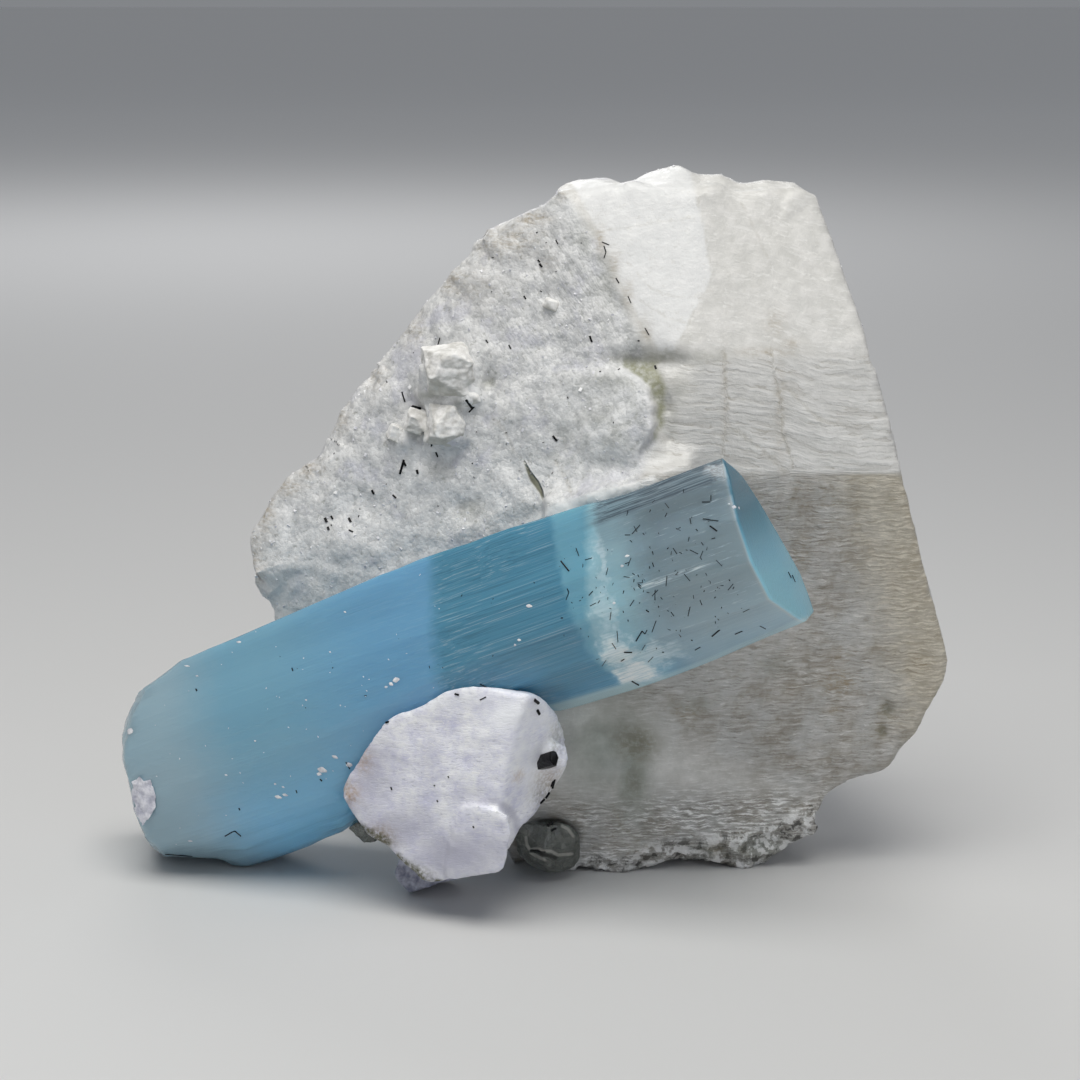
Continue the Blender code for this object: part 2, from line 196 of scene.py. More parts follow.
def add_up(tree, *terms):
    """The sum of some terms, each (factor, *parts) as cover takes them."""
    total = 0.0
    for factor, *parts in terms:
        total = add(tree, "ShaderNodeMath", operation="ADD", _0=total, _1=cover(tree, factor, *parts))
    return total


def stretched(tree, place, size, detail, roughness=0.5, distortion=0.0, **turned):
    """Noise with clumps of this size (x, y, z), turned or shifted by the settings of a Mapping."""
    space = add(tree, "ShaderNodeMapping", vector_type="TEXTURE", Vector=place, Scale=size, **turned)
    return add(
        tree, "ShaderNodeTexNoise", Vector=space, Scale=1.0,
        Detail=detail, Roughness=roughness, Distortion=distortion,
    )


def painted(tree, *names):
    """The values painted on a piece under these names, as sockets."""
    return {name: add(tree, "ShaderNodeAttribute", attribute_name=name).outputs["Fac"] for name in names}


def skin(tree, stone, *heights, volume=None, **finish):
    """Closes a material: a colour with a finish, raised by heights in millimetres, perhaps over a volume."""
    if heights:
        rise = add_up(tree, *heights)
        finish["Normal"] = add(tree, "ShaderNodeBump", Strength=1.0, Distance=MM, Height=rise)
    ends = {"Surface": add(tree, "ShaderNodeBsdfPrincipled", Base_Color=stone, **finish)}
    if volume:
        ends["Volume"] = volume
    add(tree, "ShaderNodeOutputMaterial", **ends)


print("a material starts with", len(new_material("trial")[1].nodes), "nodes")
bpy.data.materials.remove(bpy.data.materials["trial"])

# %% [markdown]
# ## The floor
#
# The specimen stands on pale matt paper. The sheet is far bigger than the picture, so that its
# edge never shows, and it is painted a little lighter far away, painted light where less light
# reaches it.

# %% The floor
FLOOR_SIZE = 60.0
PAINTED_LIGHT_RANGE = (500.0, 2200.0)  # mm from the specimen

bpy.ops.object.select_all(action="DESELECT")
bpy.ops.mesh.primitive_plane_add(size=FLOOR_SIZE, location=(0, 0, 0))
floor = bpy.context.object
floor.name = "floor"

# Matt paper scatters light evenly, so it shows no shine.
paper, tree, mm = new_material("pale matt studio paper")
# Painted light: the paper is painted lighter with distance from the specimen.
far = add(tree, "ShaderNodeVectorMath", operation="LENGTH", _0=mm)
painted_far_light = add(
    tree, "ShaderNodeMapRange", interpolation_type="SMOOTHSTEP", Value=far,
    From_Min=PAINTED_LIGHT_RANGE[0], From_Max=PAINTED_LIGHT_RANGE[1],
)
skin(tree, glaze(tree, "#CFCFCF", ("#F4F4F4", 1.0, painted_far_light)), Roughness=0.9)
floor.data.materials.append(paper)
print("the floor is", FLOOR_SIZE, "m wide")

# %% [markdown]
# ## Working on a piece
#
# Every piece starts as a copy of its solid, merged, and is then worked with ordinary modifiers
# that are applied one by one, as a carver takes one tool after another.

# %% Working on a piece
def select_only(piece):
    bpy.ops.object.select_all(action="DESELECT")
    piece.select_set(True)
    bpy.context.view_layer.objects.active = piece


def edit(piece, *steps, faces=None):
    """Runs edit-mode operators, each given as a function, on all of a piece or on the faces in a mask."""
    select_only(piece)
    if faces is not None:
        for parts in (piece.data.vertices, piece.data.edges):
            parts.foreach_set("select", np.zeros(len(parts), bool))
        piece.data.polygons.foreach_set("select", faces)
    bpy.context.tool_settings.mesh_select_mode = (faces is None, False, faces is not None)
    bpy.ops.object.mode_set(mode="EDIT")
    if faces is None:
        bpy.ops.mesh.select_all(action="SELECT")
    for step in steps:
        step()
    bpy.ops.object.mode_set(mode="OBJECT")


def copy_solid(node, name):
    """A new piece with a node's shape, its loose triangles merged."""
    piece = bpy.data.objects.new(name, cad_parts[node].data.copy())
    bpy.context.scene.collection.objects.link(piece)
    piece.data.materials.clear()
    edit(
        piece,
        lambda: bpy.ops.mesh.remove_doubles(threshold=0.00001),
        lambda: bpy.ops.mesh.dissolve_limited(angle_limit=math.radians(0.5)),
    )
    return piece


def modify(piece, kind, **settings):
    """Adds a modifier with its settings and applies it."""
    select_only(piece)
    step = piece.modifiers.new(kind.title(), kind)
    for name, value in settings.items():
        setattr(step, name, value)
    bpy.ops.object.modifier_apply(modifier=step.name)

print("solids:", sorted(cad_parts))

# %% [markdown]
# ## Values on points
#
# Kinds of surface change from place to place on one stone. They are kept as one number a point:
# as a vertex group where a modifier reads it, and as an attribute where a material does. Relief
# is a procedural texture whose size is set by an empty that guides it and is then removed.

# %% Values on points
def numbers(parts, what, width):
    """One property of all points or faces as an array."""
    found = np.empty(len(parts) * width)
    parts.foreach_get(what, found)
    return found.reshape(-1, width)


def places(piece):
    """Where a piece's points are, in millimetres: one array each for x, y and z."""
    return (numbers(piece.data.vertices, "co", 3) / MM).T


def weigh(piece, name, weights):
    """Stores one weight a point, as a vertex group that modifiers can read."""
    group = piece.vertex_groups.new(name=name)
    for level in range(1, 21):
        group.add(np.flatnonzero(np.round(weights * 20) == level).tolist(), level / 20, "REPLACE")


def paint(piece, name, values):
    """Stores one value a point, as an attribute that materials can read."""
    layer = piece.data.attributes.new(name, "FLOAT", "POINT")
    layer.data.foreach_set("value", np.asarray(values, np.float32))


def relief(piece, kind, size, height, group="", turn=(0, 0, 0), **settings):
    """Displaces a piece by a procedural texture with features of this size and height in millimetres."""
    guide = bpy.data.objects.new("relief_guide", None)
    bpy.context.scene.collection.objects.link(guide)
    guide.scale = Vector(size) * MM
    guide.rotation_euler = [math.radians(a) for a in turn]
    bpy.context.view_layer.update()
    pattern = bpy.data.textures.new("relief", kind)
    pattern.noise_scale = 1.0
    for name, value in settings.items():
        setattr(pattern, name, value)
    modify(
        piece, "DISPLACE", texture=pattern, texture_coords="OBJECT", texture_coords_object=guide,
        strength=height * MM, mid_level=0.5, vertex_group=group,
    )
    bpy.data.objects.remove(guide)
    bpy.data.textures.remove(pattern)


def ramp(values, low, high):
    """0 at low, 1 at high, and smooth between them."""
    share = np.clip((values - low) / (high - low), 0, 1)
    return share * share * (3 - 2 * share)


def spots(x, z, *marks):
    """How strongly round marks (x, z, wide, high, strength) cover points seen from the front."""
    cover = np.zeros(len(x))
    for mark_x, mark_z, wide, high, strength in marks:
        away = ((x - mark_x) / wide) ** 2 + ((z - mark_z) / high) ** 2
        cover = np.maximum(cover, strength * np.exp(-away))
    return cover


def away_from(x, z, *lines):
    """How far points seen from the front are from the nearest of some lines of (x, z) corners."""
    near = np.full(len(x), 99.0)
    for line in lines:
        for (ax, az), (bx, bz) in zip(line, line[1:]):
            along = ((x - ax) * (bx - ax) + (z - az) * (bz - az)) / ((bx - ax) ** 2 + (bz - az) ** 2)
            along = np.clip(along, 0, 1)
            near = np.minimum(near, np.hypot(x - ax - along * (bx - ax), z - az - along * (bz - az)))
    return near

print("a ramp from 2 to 4 is", float(ramp(3.0, 2, 4)), "at 3")

# %% [markdown]
# ## What the camera sees
#
# Small marks are easiest to place as an eye sees them: so far across, so far down. These helpers
# turn points into places in the picture, and a place in the picture into the point of a piece
# that shows there.

# %% What the camera sees
FRAME = 1080  # places in the picture are given in steps, this many across, from its left and top edge


def as_seen(x, y, z):
    """Where points in millimetres show in the picture, and how many millimetres one step is there."""
    from_eye = np.array([x, y, z]).T - np.array(camera.location) / MM
    upward = from_eye @ (0, math.sin(tilt), math.cos(tilt))
    step = from_eye @ (0, math.cos(tilt), -math.sin(tilt)) * SENSOR_WIDTH / (CAMERA_LENS * FRAME)
    return FRAME / 2 + from_eye[:, 0] / step, FRAME / 2 - upward / step, step


def seen_on(piece, u, v):
    """The point and outward normal that a piece shows at a place in the picture."""
    slope = SENSOR_WIDTH / (CAMERA_LENS * FRAME)
    across, up = (u - FRAME / 2) * slope, (FRAME / 2 - v) * slope
    sight = Vector((across, math.cos(tilt) + up * math.sin(tilt), up * math.cos(tilt) - math.sin(tilt)))
    hit, point, normal, _ = piece.ray_cast(camera.location, sight.normalized())
    return (point, normal) if hit else (None, None)


def move_points(piece, x, y, z):
    """Puts a piece's points at new places in millimetres, none of them below the floor."""
    piece.data.vertices.foreach_set("co", (np.array([x, y, np.maximum(z, 0)]).T * MM).ravel())
    piece.data.update()

print("one step at the specimen is", round(float(as_seen([0], [0], [42])[2][0]), 3), "mm")

# %% [markdown]
# ## Drawing an edge
#
# A broken edge has its own character, and a viewer knows a specimen by it. The points near the
# edge that the camera sees are drawn to a line of corners, and those further in follow less and
# less, so that the form keeps its faces.

# %% Drawing an edge
EDGE_CELL = 5  # steps along the outline in which one distance is kept
EDGE_FAR = 30.0  # no point so far inside counts as the edge
BLUR = (0.25, 0.5, 0.25)


def fit_outline(piece, outline, hidden=0, reach=40):
    """Draws a piece's edge, as the camera sees it, to an outline of (u, v) corners, the last few hidden."""
    x, y, z = places(piece)
    u, v, step = as_seen(x, y, z)
    near, to_u, to_v = np.full(len(u), 1e9), np.zeros(len(u)), np.zeros(len(u))
    spot, passed = np.zeros(len(u)), 0.0
    inside, free = np.zeros(len(u), bool), np.zeros(len(u), bool)
    for number, ((au, av), (bu, bv)) in enumerate(zip(outline, outline[1:] + outline[:1])):
        long = math.hypot(bu - au, bv - av)
        along = np.clip(((u - au) * (bu - au) + (v - av) * (bv - av)) / long ** 2, 0, 1)
        off_u, off_v = au + along * (bu - au) - u, av + along * (bv - av) - v
        off = np.hypot(off_u, off_v)
        nearer = off < near
        for kept, new in ((near, off), (to_u, off_u), (to_v, off_v), (spot, passed + along * long)):
            kept[nearer] = new[nearer]
        free[nearer] = number >= len(outline) - 1 - hidden if hidden else False
        if av != bv:
            inside ^= ((av > v) != (bv > v)) & (u < au + (v - av) / (bv - av) * (bu - au))
        passed += long
    signed = np.where(inside, near, -near)
    edge = np.full(int(passed / EDGE_CELL) + 2, EDGE_FAR)
    np.minimum.at(edge, (spot / EDGE_CELL).astype(int), signed)
    smooth_edge = np.convolve(np.pad(edge, 1, "edge"), BLUR, "valid")
    edge = np.interp(spot / EDGE_CELL - 0.5, np.arange(len(edge)), smooth_edge)
    edge = np.where(edge > EDGE_FAR - 2, 0, edge)
    shift = np.minimum(edge * (1 - ramp(signed - edge, 0, reach)), signed)
    shift = np.where(free, 0, shift) * np.where(inside, 1, -1) / np.maximum(near, 1e-6)
    move_points(piece, x + shift * to_u * step, y, z - shift * to_v * step / math.cos(tilt))


print("ready to draw edges in cells of", EDGE_CELL, "steps")

# %% [markdown]
# ## The feldspar block: its skin
#
# The block is microcline, broken on the left into a sugary crust of small grains and bounded on
# the right by flat cleavage and crystal faces. The solid gives the planes. A voxel remesh gives
# it an even skin of points, and the front is divided once more, because only the front shows
# fine relief.

# %% The feldspar block: its skin
MATRIX_VOXEL = 0.8

matrix = copy_solid("feldspar_matrix", "matrix_block")
modify(matrix, "REMESH", mode="VOXEL", voxel_size=MATRIX_VOXEL * MM)
modify(matrix, "SMOOTH", factor=0.5, iterations=4)
facing = numbers(matrix.data.polygons, "normal", 3)[:, 1]
edit(matrix, lambda: bpy.ops.mesh.subdivide(number_cuts=1), faces=facing < 0.15)

x, y, z = places(matrix)
u, v, step = as_seen(x, y, z)
normal_y = numbers(matrix.data.vertices, "normal", 3)[:, 1]
print(len(matrix.data.vertices), "points on the block")

# %% [markdown]
# ## The feldspar block: its kinds of surface
#
# A ridge divides the sugary crust from the crystal faces. The faces are calm above, wrinkled in
# the middle, and banded below an edge, and the foot is ragged. On the crust stands a broken lump
# with a recess above it. Each kind gets a weight from 0 to 1 on every point.

# %% The feldspar block: its kinds of surface
RIDGE_Z = (30, 36, 44, 51, 55, 65, 77, 84)
RIDGE_X = (-30, -5, 10, 13, 15, 14, 8.7, 4)
FOOT_U = (560, 620, 700, 760, 820)
FOOT_V = (868, 852, 838, 826, 806)
LUMP_V = (366, 378, 388, 398, 406, 414, 424, 432, 440, 452)
LUMP_U = (622, 640, 650, 652, 657, 655, 658, 653, 652, 640)

front = ramp(-normal_y, -0.1, 0.2)
left_of_ridge = ramp(np.interp(z, RIDGE_Z, RIDGE_X) - x, -0.8, 0.8)
sugar = np.maximum(left_of_ridge * front, 1 - front)
ragged = front * ramp(v - np.interp(u, FOOT_U, FOOT_V), -8, 8)
below_edge = ramp(v, 471, 476) * ramp(x, 10, 14)
below_edge = np.maximum(below_edge, ramp(-z, -50, -48))
low = (1 - sugar) * below_edge * np.maximum(ramp(z + 0.6 * x, 24, 34), ramp(-z, -14, -8))
recess = front * np.minimum(1, spots(
    u, v, (628, 360, 26, 9, 1.0), (680, 358, 34, 7, 0.8), (657, 410, 8, 36, 1.0), (680, 390, 20, 18, 0.6),
))
middle = (1 - sugar) * (1 - below_edge) * ramp(v, 350, 362) * (1 - recess)
lump = front * ramp(np.interp(v, LUMP_V, LUMP_U) - u, -1, 5) * ramp(u, 520, 620)
lump = lump * ramp(v, 366, 378) * ramp(-v, -484, -436)
for name, weights in (("sugar", sugar), ("low", low), ("middle", middle), ("ragged", ragged)):
    weigh(matrix, name, weights)
print("share of the block that is sugary:", round(float(sugar.mean()), 2))

# %% [markdown]
# ## The feldspar block: its relief
#
# Mounds and hollows a few millimetres across come first, each where the break left it. Then each
# kind of surface gets its own relief: lumps and grains on the crust, flat wavy growth lines on
# the faces, and splinters at the foot.

# %% The feldspar block: its relief
hollows = spots(
    u, v, (628, 360, 28, 8, 0.9), (657, 405, 6, 30, 0.7), (470, 508, 14, 12, 0.8), (488, 382, 10, 9, 0.8),
    (564, 440, 9, 16, 0.35), (418, 428, 9, 9, 0.8), (887, 709, 5, 8, 0.8), (882, 731, 4, 7, 0.6),
    (360, 500, 20, 14, 0.4), (636, 745, 16, 26, 0.5), (606, 300, 10, 30, 0.4),
)
mounds = 0.7 * lump + spots(
    u, v, (441, 374, 30, 30, 0.9), (444, 428, 22, 26, 0.9), (402, 440, 11, 10, 1.3), (465, 401, 10, 8, 1.0),
    (600, 430, 26, 30, 0.7), (530, 500, 24, 10, 0.6), (575, 480, 24, 14, 0.8), (340, 545, 30, 14, 0.5),
    (430, 530, 22, 14, 0.6), (480, 300, 30, 40, 0.4), (390, 400, 16, 16, 0.5), (510, 400, 16, 24, 0.4),
)
move_points(matrix, x, y + front * (hollows - mounds), z)
relief(matrix, "CLOUDS", (4.0, 4.0, 4.0), 0.8, "sugar", noise_depth=1)
relief(matrix, "VORONOI", (1.9, 1.9, 1.9), 0.24, "sugar")
relief(matrix, "CLOUDS", (0.9, 0.9, 0.9), 0.13, "sugar", noise_depth=1)
relief(matrix, "CLOUDS", (4.4, 2.5, 0.9), 0.20, "low", (0, 3, 0), noise_depth=2)
relief(matrix, "CLOUDS", (4.5, 2.5, 1.0), 0.16, "middle", (0, 6, 0), noise_depth=2)
relief(matrix, "VORONOI", (2.6, 2.6, 1.6), 1.2, "ragged")
relief(matrix, "CLOUDS", (0.9, 0.9, 0.6), 0.8, "ragged", noise_depth=1)
relief(matrix, "CLOUDS", (12.0, 12.0, 12.0), 0.4, noise_depth=2)
print("hollows up to", round(float(hollows.max()), 2), "mm deep")

# %% [markdown]
# ## The feldspar block: its edge
#
# The left edge is a staircase of small breaks, the top is stepped, and the lower right runs in
# long straight faces. The corners go round clockwise from the left, and the last three are hidden
# behind the aquamarine.

# %% The feldspar block: its edge
BLOCK_OUTLINE = [
    (276, 640), (274, 620), (274, 611), (271, 604), (265, 598), (258, 594), (255, 591), (255, 582),
    (254, 577), (256, 573), (253, 568), (253, 560), (251, 550), (250, 541), (251, 534), (254, 527),
    (260, 520), (265, 511), (270, 501), (276, 490), (281, 486), (284, 481), (288, 475), (300, 469),
    (304, 463), (312, 461), (315, 459), (323, 450), (326, 446), (326, 438), (333, 431), (335, 425),
    (338, 420), (339, 412), (345, 406), (350, 399), (356, 390), (361, 382), (369, 378), (368, 375),
    (373, 368), (378, 362), (384, 358), (386, 353), (396, 342), (398, 339), (405, 331), (408, 326),
    (418, 313), (424, 305), (430, 297), (440, 287), (444, 283), (445, 279), (450, 271), (458, 266),
    (462, 263), (462, 260), (468, 257), (473, 255), (469, 251), (471, 247), (474, 242), (478, 239),
    (483, 239), (482, 232), (490, 229), (500, 224), (520, 215), (540, 205), (552, 204), (552, 197),
    (555, 191), (561, 186), (567, 183), (577, 180), (602, 177), (617, 180), (621, 183), (626, 182),
    (630, 179), (637, 179), (640, 176), (650, 172), (670, 166), (682, 165), (689, 170), (697, 174),
    (720, 174), (731, 177), (735, 181), (742, 183), (750, 182), (770, 179), (774, 181), (791, 181),
    (806, 190), (816, 196), (820, 208), (832, 239), (850, 291), (861, 321), (867, 342), (870, 360),
    (876, 371), (884, 400), (896, 445), (904, 487), (909, 500), (910, 512), (915, 527), (922, 562),
    (931, 592), (942, 635), (948, 659), (946, 676), (940, 688), (932, 702), (924, 716), (918, 730),
    (914, 736), (909, 740), (900, 750), (898, 752), (895, 758), (888, 768), (880, 772), (870, 775),
    (852, 778), (846, 782), (832, 788), (824, 797), (817, 801), (816, 806), (818, 811), (810, 816),
    (816, 823), (820, 832), (812, 835), (800, 839), (785, 848), (770, 858), (762, 866), (750, 870),
    (738, 869), (722, 864), (710, 861), (682, 860), (670, 859), (662, 862), (656, 866), (647, 867),
    (640, 870), (628, 872), (610, 873), (600, 871), (590, 867), (575, 867), (540, 880), (300, 880),
    (200, 740),
]
fit_outline(matrix, BLOCK_OUTLINE, hidden=3)
print("the edge has", len(BLOCK_OUTLINE), "corners")

# %% [markdown]
# ## The feldspar block: its cracks
#
# Splits run down the lower face, fine cracks branch from them, and creases cross the upper faces.
# What is kept on the points is the distance from the nearest line. A distance stays true between
# points, so even a hairline crack is drawn sharply by the material.

# %% The feldspar block: its cracks
matrix.vertex_groups.clear()
x, y, z = places(matrix)
u, v, step = as_seen(x, y, z)
off_front = 99 * (1 - front)
SPLITS = (
    [(724, 352), (725, 373), (727, 396), (727, 422), (724, 439), (722, 457)],
    [(772, 350), (774, 373), (779, 393), (782, 419), (782, 432), (787, 445), (792, 462), (790, 474)],
)
CRACKS = (
    [(782, 383), (798, 399), (815, 416), (823, 422), (854, 426), (871, 426)],
    [(732, 426), (749, 440), (765, 452), (785, 472)],
    [(798, 485), (792, 502), (785, 525), (792, 541), (798, 561)],
    [(820, 485), (838, 502), (854, 510)],
    [(492, 416), (506, 434), (514, 452), (524, 461)],
    [(556, 462), (566, 478), (572, 494)],
    [(612, 806), (622, 826), (640, 842), (652, 852)],
)
CREASES = (
    [(596, 232), (625, 228), (660, 222), (690, 218)],
    [(628, 262), (650, 288), (672, 296), (692, 298), (710, 290)],
    [(664, 352), (680, 340), (694, 312), (706, 291), (712, 277), (708, 252), (704, 226), (696, 196)],
    [(640, 300), (668, 318), (684, 322)],
    [(740, 200), (756, 232), (772, 268)],
)
GASH = [(524, 461), (530, 474), (537, 485), (541, 492), (543, 499)]
RIM = [(540, 519), (560, 509), (580, 502), (600, 496), (620, 492), (640, 486), (652, 481)]
paint(matrix, "crack_gap", away_from(u, v, *SPLITS, *CRACKS) + off_front)
paint(matrix, "crease_gap", away_from(u, v, *CREASES) + off_front)
paint(matrix, "gash_gap", away_from(u, v, GASH) + 0.13 * np.abs(v - 482) + off_front)
paint(matrix, "rim", front * ramp(-away_from(u, v, RIM), -7, -3.5))
# Painted shadow in the crevice right of the lump, which the lump shades.
from_lump = u - np.interp(v, LUMP_V, LUMP_U)
reach = np.interp(v, (360, 380, 400, 430, 450), (44, 24, 15, 9, 5))
crevice = ramp(from_lump, -1, 3) * ramp(reach - from_lump, 0, 8)
paint(matrix, "crevice", front * crevice * ramp(v, 354, 366) * ramp(-v, -456, -438))
print("marked with", len(SPLITS) + len(CRACKS) + len(CREASES), "splits, cracks and creases")

# %% [markdown]
# ## The feldspar block: its growth lines
#
# The faces carry fine lines where growth layers end. They slant down to the right and jump a
# little at each split, because the stone moved there. One painted height follows them, and a
# second value says which split block a point belongs to.

# %% The feldspar block: its growth lines
SLANT_X = (-40, 22.6, 29.0, 34.0, 39.0, 52.0)
SLANT_FALL = (-1.5, 0.0, 1.2, 2.7, 3.3, 3.5)

above_edge = ramp(-v, -478, -470)
paint(matrix, "growth", z + np.interp(x, SLANT_X, SLANT_FALL) * above_edge + 0.02 * x)
beyond = [
    ramp(u - np.interp(v, [down for _, down in line], [across for across, _ in line]), -1.5, 1.5)
    for line in SPLITS
]
paint(matrix, "split_block", sum(beyond) * above_edge)
print("growth lines fall by up to", SLANT_FALL[-1] - SLANT_FALL[0], "mm")

# %% [markdown]
# ## The feldspar block: its kinds of surface, painted
#
# The material needs to know the same kinds of surface as the relief, and some more: the bright
# strip beside the ridge, painted lighter as a painted highlight, the glassy lump with its white
# broken edge, painted brighter as a highlight, a fibrous part of the crust and a pale part, painted
# light where the crust falls into shade, and a creamy and a flecked part of the banded face.

# %% The feldspar block: its kinds of surface, painted
BRIGHT_V = (170, 196, 226, 252, 277, 291, 312, 341, 352)
BRIGHT_U = (690, 696, 704, 708, 712, 706, 694, 680, 672)
RIDGE_V = (183, 200, 226, 256, 286, 316, 342, 351)
RIDGE_U = (572, 582, 595, 610, 623, 638, 655, 659)

ridge_u = np.interp(v, RIDGE_V, RIDGE_U)
upper = front * ramp(-v, -353, -349)
# The bright strip beside the ridge faces the overhead lamp: a cooler white, painted lighter as a painted
# highlight.
bright = upper * ramp(u - ridge_u, -2, 2) * ramp(np.interp(v, BRIGHT_V, BRIGHT_U) - u, -2, 2)
beside_ridge = upper * ramp(ridge_u - u, -2, 2) * ramp(u - ridge_u, -44, -8)
SURFACES = {
    "sugar": sugar,
    "low": low,
    "middle": middle,
    "ragged": ragged,
    "bright": bright,
    "lump": np.maximum(lump, 0.8 * beside_ridge),
    # The lump's white broken edge, painted brighter as a highlight.
    "lump_edge": lump * ramp(-np.interp(v, LUMP_V, LUMP_U) + u, -14, -3),
    "fibrous": front * sugar * spots(u, v, (575, 285, 50, 70, 1.0), (520, 330, 50, 60, 0.6)),
    "cream": front * low * ramp(u - 0.25 * (v - 640), 850, 925),
    "flecked": front * low * spots(
        u, v, (705, 815, 110, 34, 1.0), (615, 856, 50, 14, 1.0), (780, 805, 40, 24, 0.9),
        (590, 820, 30, 30, 0.5),
    ),
    "glassy": front * spots(
        u, v, (600, 745, 46, 46, 1.0), (632, 770, 20, 50, 1.0), (762, 846, 20, 10, 0.8),
        (708, 852, 14, 8, 0.5),
    ),
    # Painted light: the crust is painted lighter where it falls into shade.
    "pale": front * spots(
        u, v, (290, 588, 60, 26, 1.0), (420, 545, 60, 14, 0.5), (620, 470, 40, 14, 0.6),
        (590, 455, 30, 14, 0.5),
    ),
}
for name, values in SURFACES.items():
    paint(matrix, name, values)
print("painted", len(SURFACES), "kinds of surface")

# %% [markdown]
# ## The feldspar block: its stains and painted shade
#
# Iron leaves tan stains in cracks and along edges. The olive marks in the hollows, the recess and
# under the little blocks are painted shade with a clay tint. Each is a soft round mark, and the
# material breaks it up by its grain.

# %% The feldspar block: its stains and painted shade
paint(matrix, "tan_stain", front * spots(
    u, v,
    (532, 219, 16, 7, 0.9), (505, 240, 36, 18, 0.5), (470, 285, 34, 24, 0.3), (560, 192, 8, 9, 0.5),
    (264, 505, 10, 28, 0.8), (286, 486, 16, 9, 0.8), (256, 560, 8, 30, 0.6), (310, 468, 16, 10, 0.6),
    (340, 418, 12, 18, 0.5), (375, 372, 12, 20, 0.5), (412, 325, 14, 20, 0.5), (450, 280, 16, 14, 0.6),
    (600, 240, 5, 14, 0.6), (614, 264, 6, 14, 0.6), (628, 294, 5, 14, 0.5), (646, 330, 6, 14, 0.4),
    (548, 262, 12, 10, 0.35), (775, 324, 10, 12, 0.4), (766, 352, 26, 4, 0.55), (792, 344, 12, 5, 0.4),
    (725, 400, 4, 50, 0.3), (780, 410, 5, 55, 0.35), (830, 500, 26, 12, 0.4), (803, 552, 9, 20, 0.5),
    (832, 528, 8, 12, 0.4), (790, 600, 30, 30, 0.2), (840, 684, 17, 16, 0.85), (833, 710, 8, 6, 0.7),
    (842, 655, 14, 9, 0.5), (922, 664, 10, 10, 0.7), (887, 709, 7, 9, 1.0), (882, 731, 6, 8, 1.0),
    (687, 713, 16, 8, 0.6), (790, 690, 12, 8, 0.35), (750, 640, 20, 8, 0.35), (715, 850, 10, 6, 0.6),
    (636, 745, 18, 16, 0.7), (860, 740, 30, 16, 0.25), (905, 560, 16, 20, 0.2), (640, 850, 20, 8, 0.3),
))
# Painted shade, olive: the recess, the crevice, the hollows and under the little blocks.
paint(matrix, "olive_shade", front * spots(
    u, v,
    (626, 360, 22, 6, 0.6), (665, 357, 26, 6, 0.6), (706, 357, 20, 6, 0.5), (645, 372, 8, 9, 0.5),
    (680, 388, 20, 16, 0.3), (668, 412, 8, 24, 0.3), (488, 383, 9, 8, 0.6), (470, 510, 15, 12, 0.5),
    (422, 428, 8, 10, 0.7), (430, 396, 16, 5, 0.7), (564, 440, 8, 14, 0.35), (552, 455, 20, 8, 0.2),
    (600, 410, 14, 12, 0.2), (458, 404, 5, 7, 0.6), (610, 380, 16, 10, 0.3), (585, 232, 10, 14, 0.3),
    (604, 290, 10, 22, 0.35), (634, 742, 22, 20, 1.0), (634, 782, 12, 20, 0.9), (600, 770, 26, 26, 0.25),
    (774, 666, 16, 9, 0.5), (695, 705, 16, 9, 0.5), (730, 850, 30, 8, 0.35), (600, 690, 40, 10, 0.3),
    (440, 470, 12, 10, 0.25), (500, 540, 14, 8, 0.35), (520, 545, 12, 8, 0.3), (887, 709, 6, 8, 0.9),
    (882, 731, 5, 7, 0.9),
))
print("the block has", len(matrix.data.attributes), "attributes")

# %% [markdown]
# ## The feldspar block: the patterns in its stone
#
# Fresh feldspar is nearly white. What gives this block its look is fine structure: clouds of tone
# some millimetres across, grains of 0.6 mm, short fibres, and lines a quarter to half a millimetre
# apart that are drawn out along the growth. Each pattern is a noise with its real size.

# %% The feldspar block: the patterns in its stone
# Microcline is chalky where it is bruised and glassy where it broke clean.
feldspar, tree, mm = new_material("white microcline, sugary, with chalky cleavage and iron stain")
masks = painted(
    tree, *SURFACES, "rim", "tan_stain", "olive_shade", "crack_gap", "crease_gap", "gash_gap", "crevice",
    "growth", "split_block",
)
# Broad cloudy change of tone, a few millimetres across, and finer ones.
cloud = add(tree, "ShaderNodeTexNoise", Vector=mm, Scale=0.2, Detail=4.0, Roughness=0.6)
mottle = add(tree, "ShaderNodeTexNoise", Vector=mm, Scale=0.6, Detail=5.0, Roughness=0.6)
speck = add(tree, "ShaderNodeTexNoise", Vector=mm, Scale=1.3, Detail=4.0, Roughness=0.65)
fine = add(tree, "ShaderNodeTexNoise", Vector=mm, Scale=2.6, Detail=5.0, Roughness=0.65)
# Grains of the sugary crust.
bent = add(
    tree, "ShaderNodeVectorMath", operation="MULTIPLY_ADD", _0=speck.outputs["Color"], _1=(0.9,) * 3, _2=mm,
)
grain = add(tree, "ShaderNodeTexVoronoi", Vector=bent, Scale=1.7, Randomness=1.0)
grain_tone = add(tree, "ShaderNodeSeparateColor", Color=grain.outputs["Color"])
# Short fibres that run down to the right in the crust.
fibre = stretched(tree, mm, (1.1, 1, 0.24), 3.0, 0.6, 0.5, Rotation=(0, 0.95, 0))
# Wrinkles follow the growth lines, sway a little, and start afresh in each split block.
parts = add(tree, "ShaderNodeSeparateXYZ", Vector=mm)
block_shift = cover(tree, 1.7, masks["split_block"])
sway = add_up(tree, (1.0, masks["growth"]), (0.9, mottle))
flow = add(tree, "ShaderNodeCombineXYZ", X=parts.outputs["X"], Y=block_shift, Z=sway)
wrinkle = stretched(tree, flow, (4.6, 1, 0.56), 2.0)
